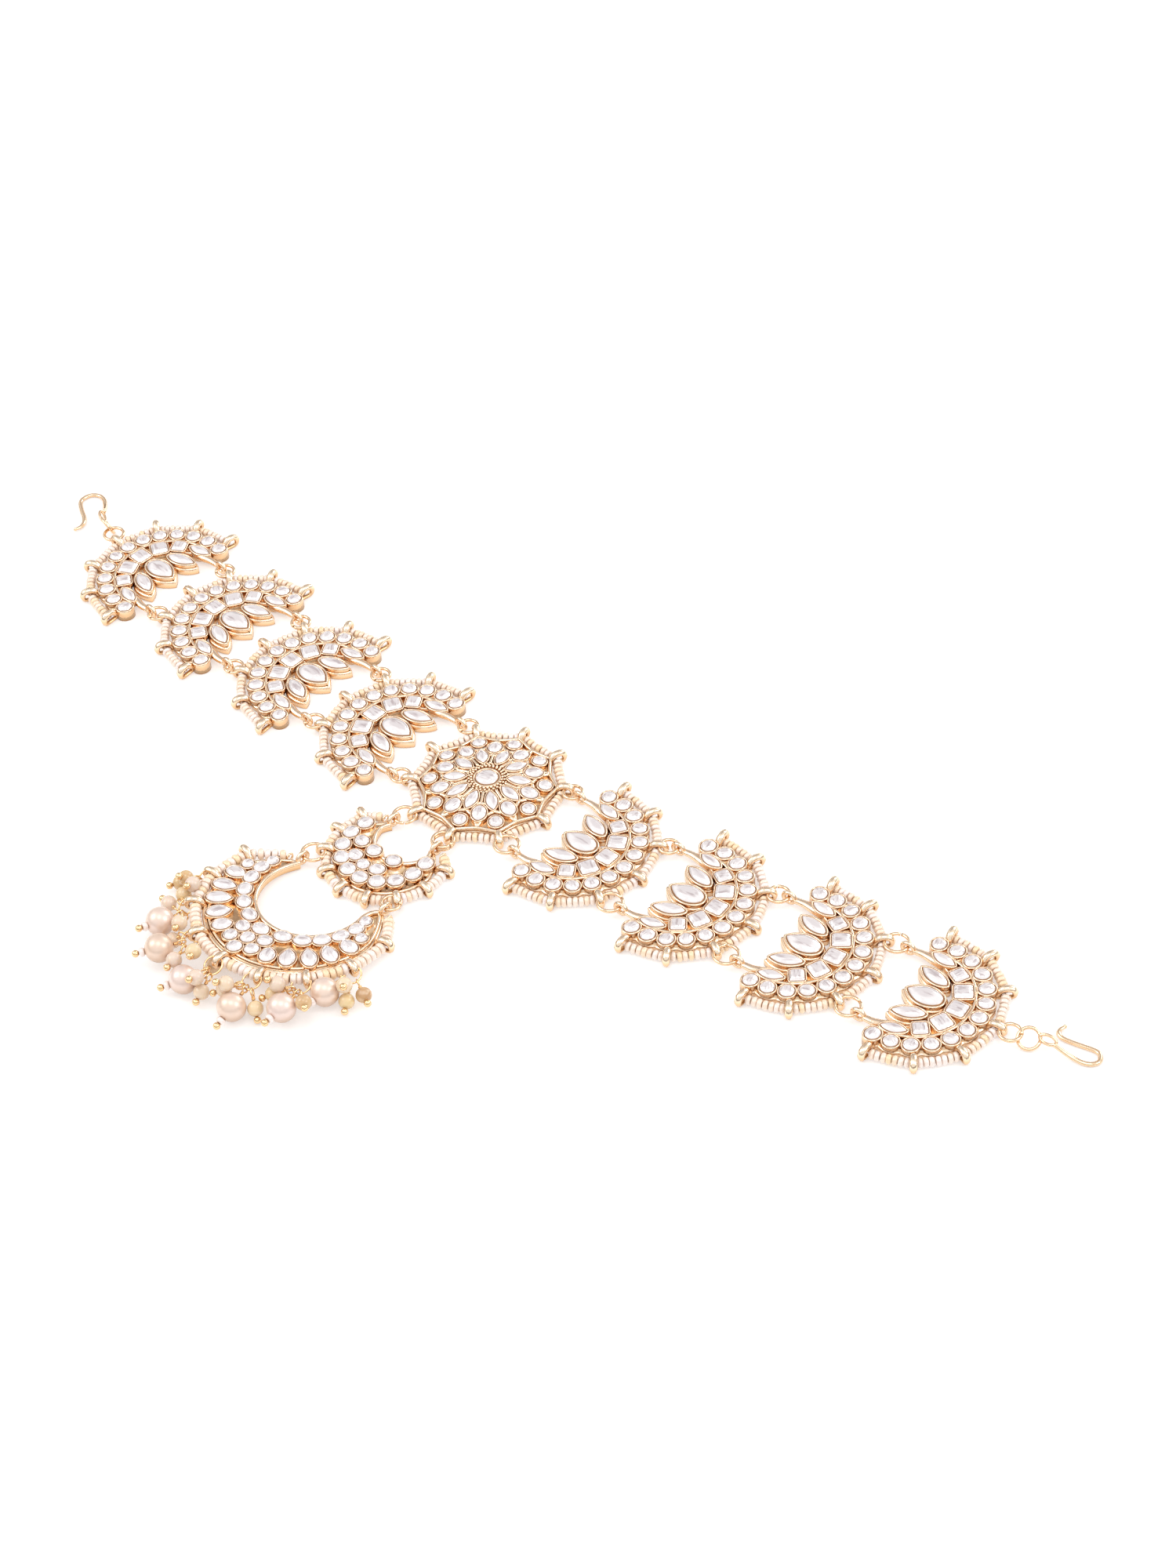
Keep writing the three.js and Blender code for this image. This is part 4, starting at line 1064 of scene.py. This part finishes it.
for side, entry in hooks.items():
    flatRing, hookWire = hookShapes(entry)
    piece(f"ring_{side}_end_wire", flatRing, wireGold, [f"ring_{side}_end"])
    piece(f"hook_{side}_wire", hookWire, wireGold, [f"hook_{side}"])

print("bead drops")
# A drop is a ring with pins on it. Along a pin come its eye, wraps of wire round the stem, the bead,
# for a pearl a seed bead, and the ball at the end; pull is how far a small bead's pin hangs out from
# the ring's wire.
drop = dict(
    ring=2.0, ringWire=0.21, ringZ=2.45, eye=0.85, eyeWire=0.2, pull=0.6, pearl=3.0,
    wrap=0.27, wrapTurns=2.6, wrapRise=0.64, wrapWire=0.15, stemWire=0.2, bead=1.65,
    wrapFrom=0.05, stemPast=0.3, ballOut=0.9, beadAfter=0.75, hole=0.96,
    seed=(1.0, 1.2), seedShade=0.05, ball=0.78,
)
# For each drop, its post and the ring's swing and fall, then its pearl and its three pins, each of them
# as (place on the ring, turn, rise).
drops = [
    (-3, 18, 41, None, (23, 74, 47), (-6, 50, 2), (98, 92, 33)),
    (-2, 24, 36, (16, 38, 10), (-60, -88, -16), (-10, -46, -8), (69, 80, 20)),
    (-1, 39, 17, (-47, -8, -3), (82, 59, 22), (-3, 36, -2), (-101, -42, -43)),
    (0, -1, 26, (-19, -34, -12), (4, 9, 31), (26, 11, -26), (-36, -165, -35)),
    (1, -32, 18, (11, -21, -17), (-14, -53, 33), (50, 29, -37), (-37, -65, -15)),
    (2, -42, 17, (11, -48, -1), (38, 2, 19), (-14, -97, 40), (-45, -88, -13)),
    (3, -38, 18, (-60, -80, -1), (-28, -33, 39), (-3, -44, -17), (41, -13, -3)),
]


def wayOf(heading, rise):
    flat, z = polar(1.0, rise)
    return np.array([*polar(flat, heading), z])


def pinShapes(radius, pearl):
    # along z: the metal, the bead, and the seed bead beyond a pearl, if any
    eye = drop["eye"]
    metal = [closedRing((0, 0, 0), np.array([0, eye, 0]), np.array([0, 0, eye]), drop["eyeWire"], 16, 6)]
    share = np.linspace(0, 1, 34)
    wraps = polar(drop["wrap"], 360 * drop["wrapTurns"] * share)
    coil = np.column_stack([wraps, eye + drop["wrapFrom"] + drop["wrapRise"] * share])
    metal.append(tube(coil, drop["wrapWire"], 5, tone=0.85))
    centre = eye + drop["beadAfter"] + radius
    bead = moved(ball(radius, 13, 22, 0.98), standing(0, 0, centre))
    end, seeds = centre + radius * drop["hole"], []
    if pearl:
        # the seed bead's own x is turned up to z
        seedRadius, seedLong = drop["seed"]
        turn = np.array([[0, 0, -1], [0, 1, 0], [1, 0, 0]])
        seedAt = whole(turn, (0, 0, end + seedLong / 2))
        seeds.append(shaded(moved(seedBead(seedRadius, seedLong), seedAt), drop["seedShade"]))
        end += seedLong
    metal.append(tube([(0, 0, eye), (0, 0, end + drop["stemPast"])], drop["stemWire"], 6, side=(1, 0, 0)))
    metal.append(moved(ball(drop["ball"], 7, 12, 0.95), standing(0, 0, end + drop["ball"] * drop["ballOut"])))
    return metal, bead, seeds


def dropPieces(post, swing, fall, heldPearl, *pins):
    around = post * largePendant["postStep"]
    face = largePlace["facing"] + around
    local = outward(largePendant["postRadius"], around, largePendant["rimY"])
    hole = spot(largePlace, local, drop["ringZ"])
    hang, tangent = wayOf(face + swing, -fall), wayOf(face + swing + 90, 0)
    centre = hole + hang * drop["ring"]
    metal = [cutRing(centre, hang, tangent, drop["ring"], drop["ringWire"])]
    agates, pearls, seeds = [], [], []
    held = [(pin, False) for pin in pins] + ([(heldPearl, True)] if heldPearl else [])
    for (at, turn, rise), pearl in held:
        # the pin's z is its way, its x the ring's wire where it hangs, made square to that way
        c, s = polar(1.0, at)
        way, along = wayOf(face + turn, rise), tangent * c - hang * s
        side = unit(along - way * (along @ way))
        seat = centre + drop["ring"] * (c * hang + s * tangent) + way * (0.0 if pearl else drop["pull"])
        matrix = whole(np.stack([side, np.cross(way, side), way], 1), seat)
        pinMetal, bead, pinSeeds = pinShapes(drop["pearl"] if pearl else drop["bead"], pearl)
        metal += [moved(shape, matrix) for shape in pinMetal]
        seeds += [moved(shape, matrix) for shape in pinSeeds]
        (pearls if pearl else agates).append(shaded(moved(bead, matrix), chance.random()))
    name = f"drop_{post + 4}"
    piece(name + "_pins", gathered(metal), pinGold)
    piece(name + "_agates", gathered(agates), agateGlass, [name + "_beads"])
    if pearls:
        piece(name + "_round", gathered(pearls), pearlShell, [name + "_pearl"])
        piece(name + "_spacer", gathered(seeds), seedGlass)


for entry in drops:
    dropPieces(*entry)

print("floor")
ground = dict(half=6, z=-0.00003, grain=60.0, darker=0.995, rough=0.85, roughMore=0.05)


def makeFloor(ground, colour, glow):
    # the floor glows a little, which keeps the shadows on it weak
    finish = Finish("pale_floor", {
        "Specular IOR Level": 0.1, "Emission Strength": glow, "Emission Color": (1, 1, 1, 1)})
    grain = finish.noise(finish.place(), ground["grain"], 3.0)
    tone = finish.blend(grain, colour, tuple(ground["darker"] * part for part in colour))
    mesh = bpy.data.meshes.new("floor")
    far, z = ground["half"], ground["z"]
    mesh.from_pydata([(-far, -far, z), (far, -far, z), (far, far, z), (-far, far, z)], [], [(0, 1, 2, 3)])
    mesh.materials.append(finish.wear(ground, tone, grain))
    linked("floor", mesh)


makeFloor(ground, light["floor"], light["glow"])
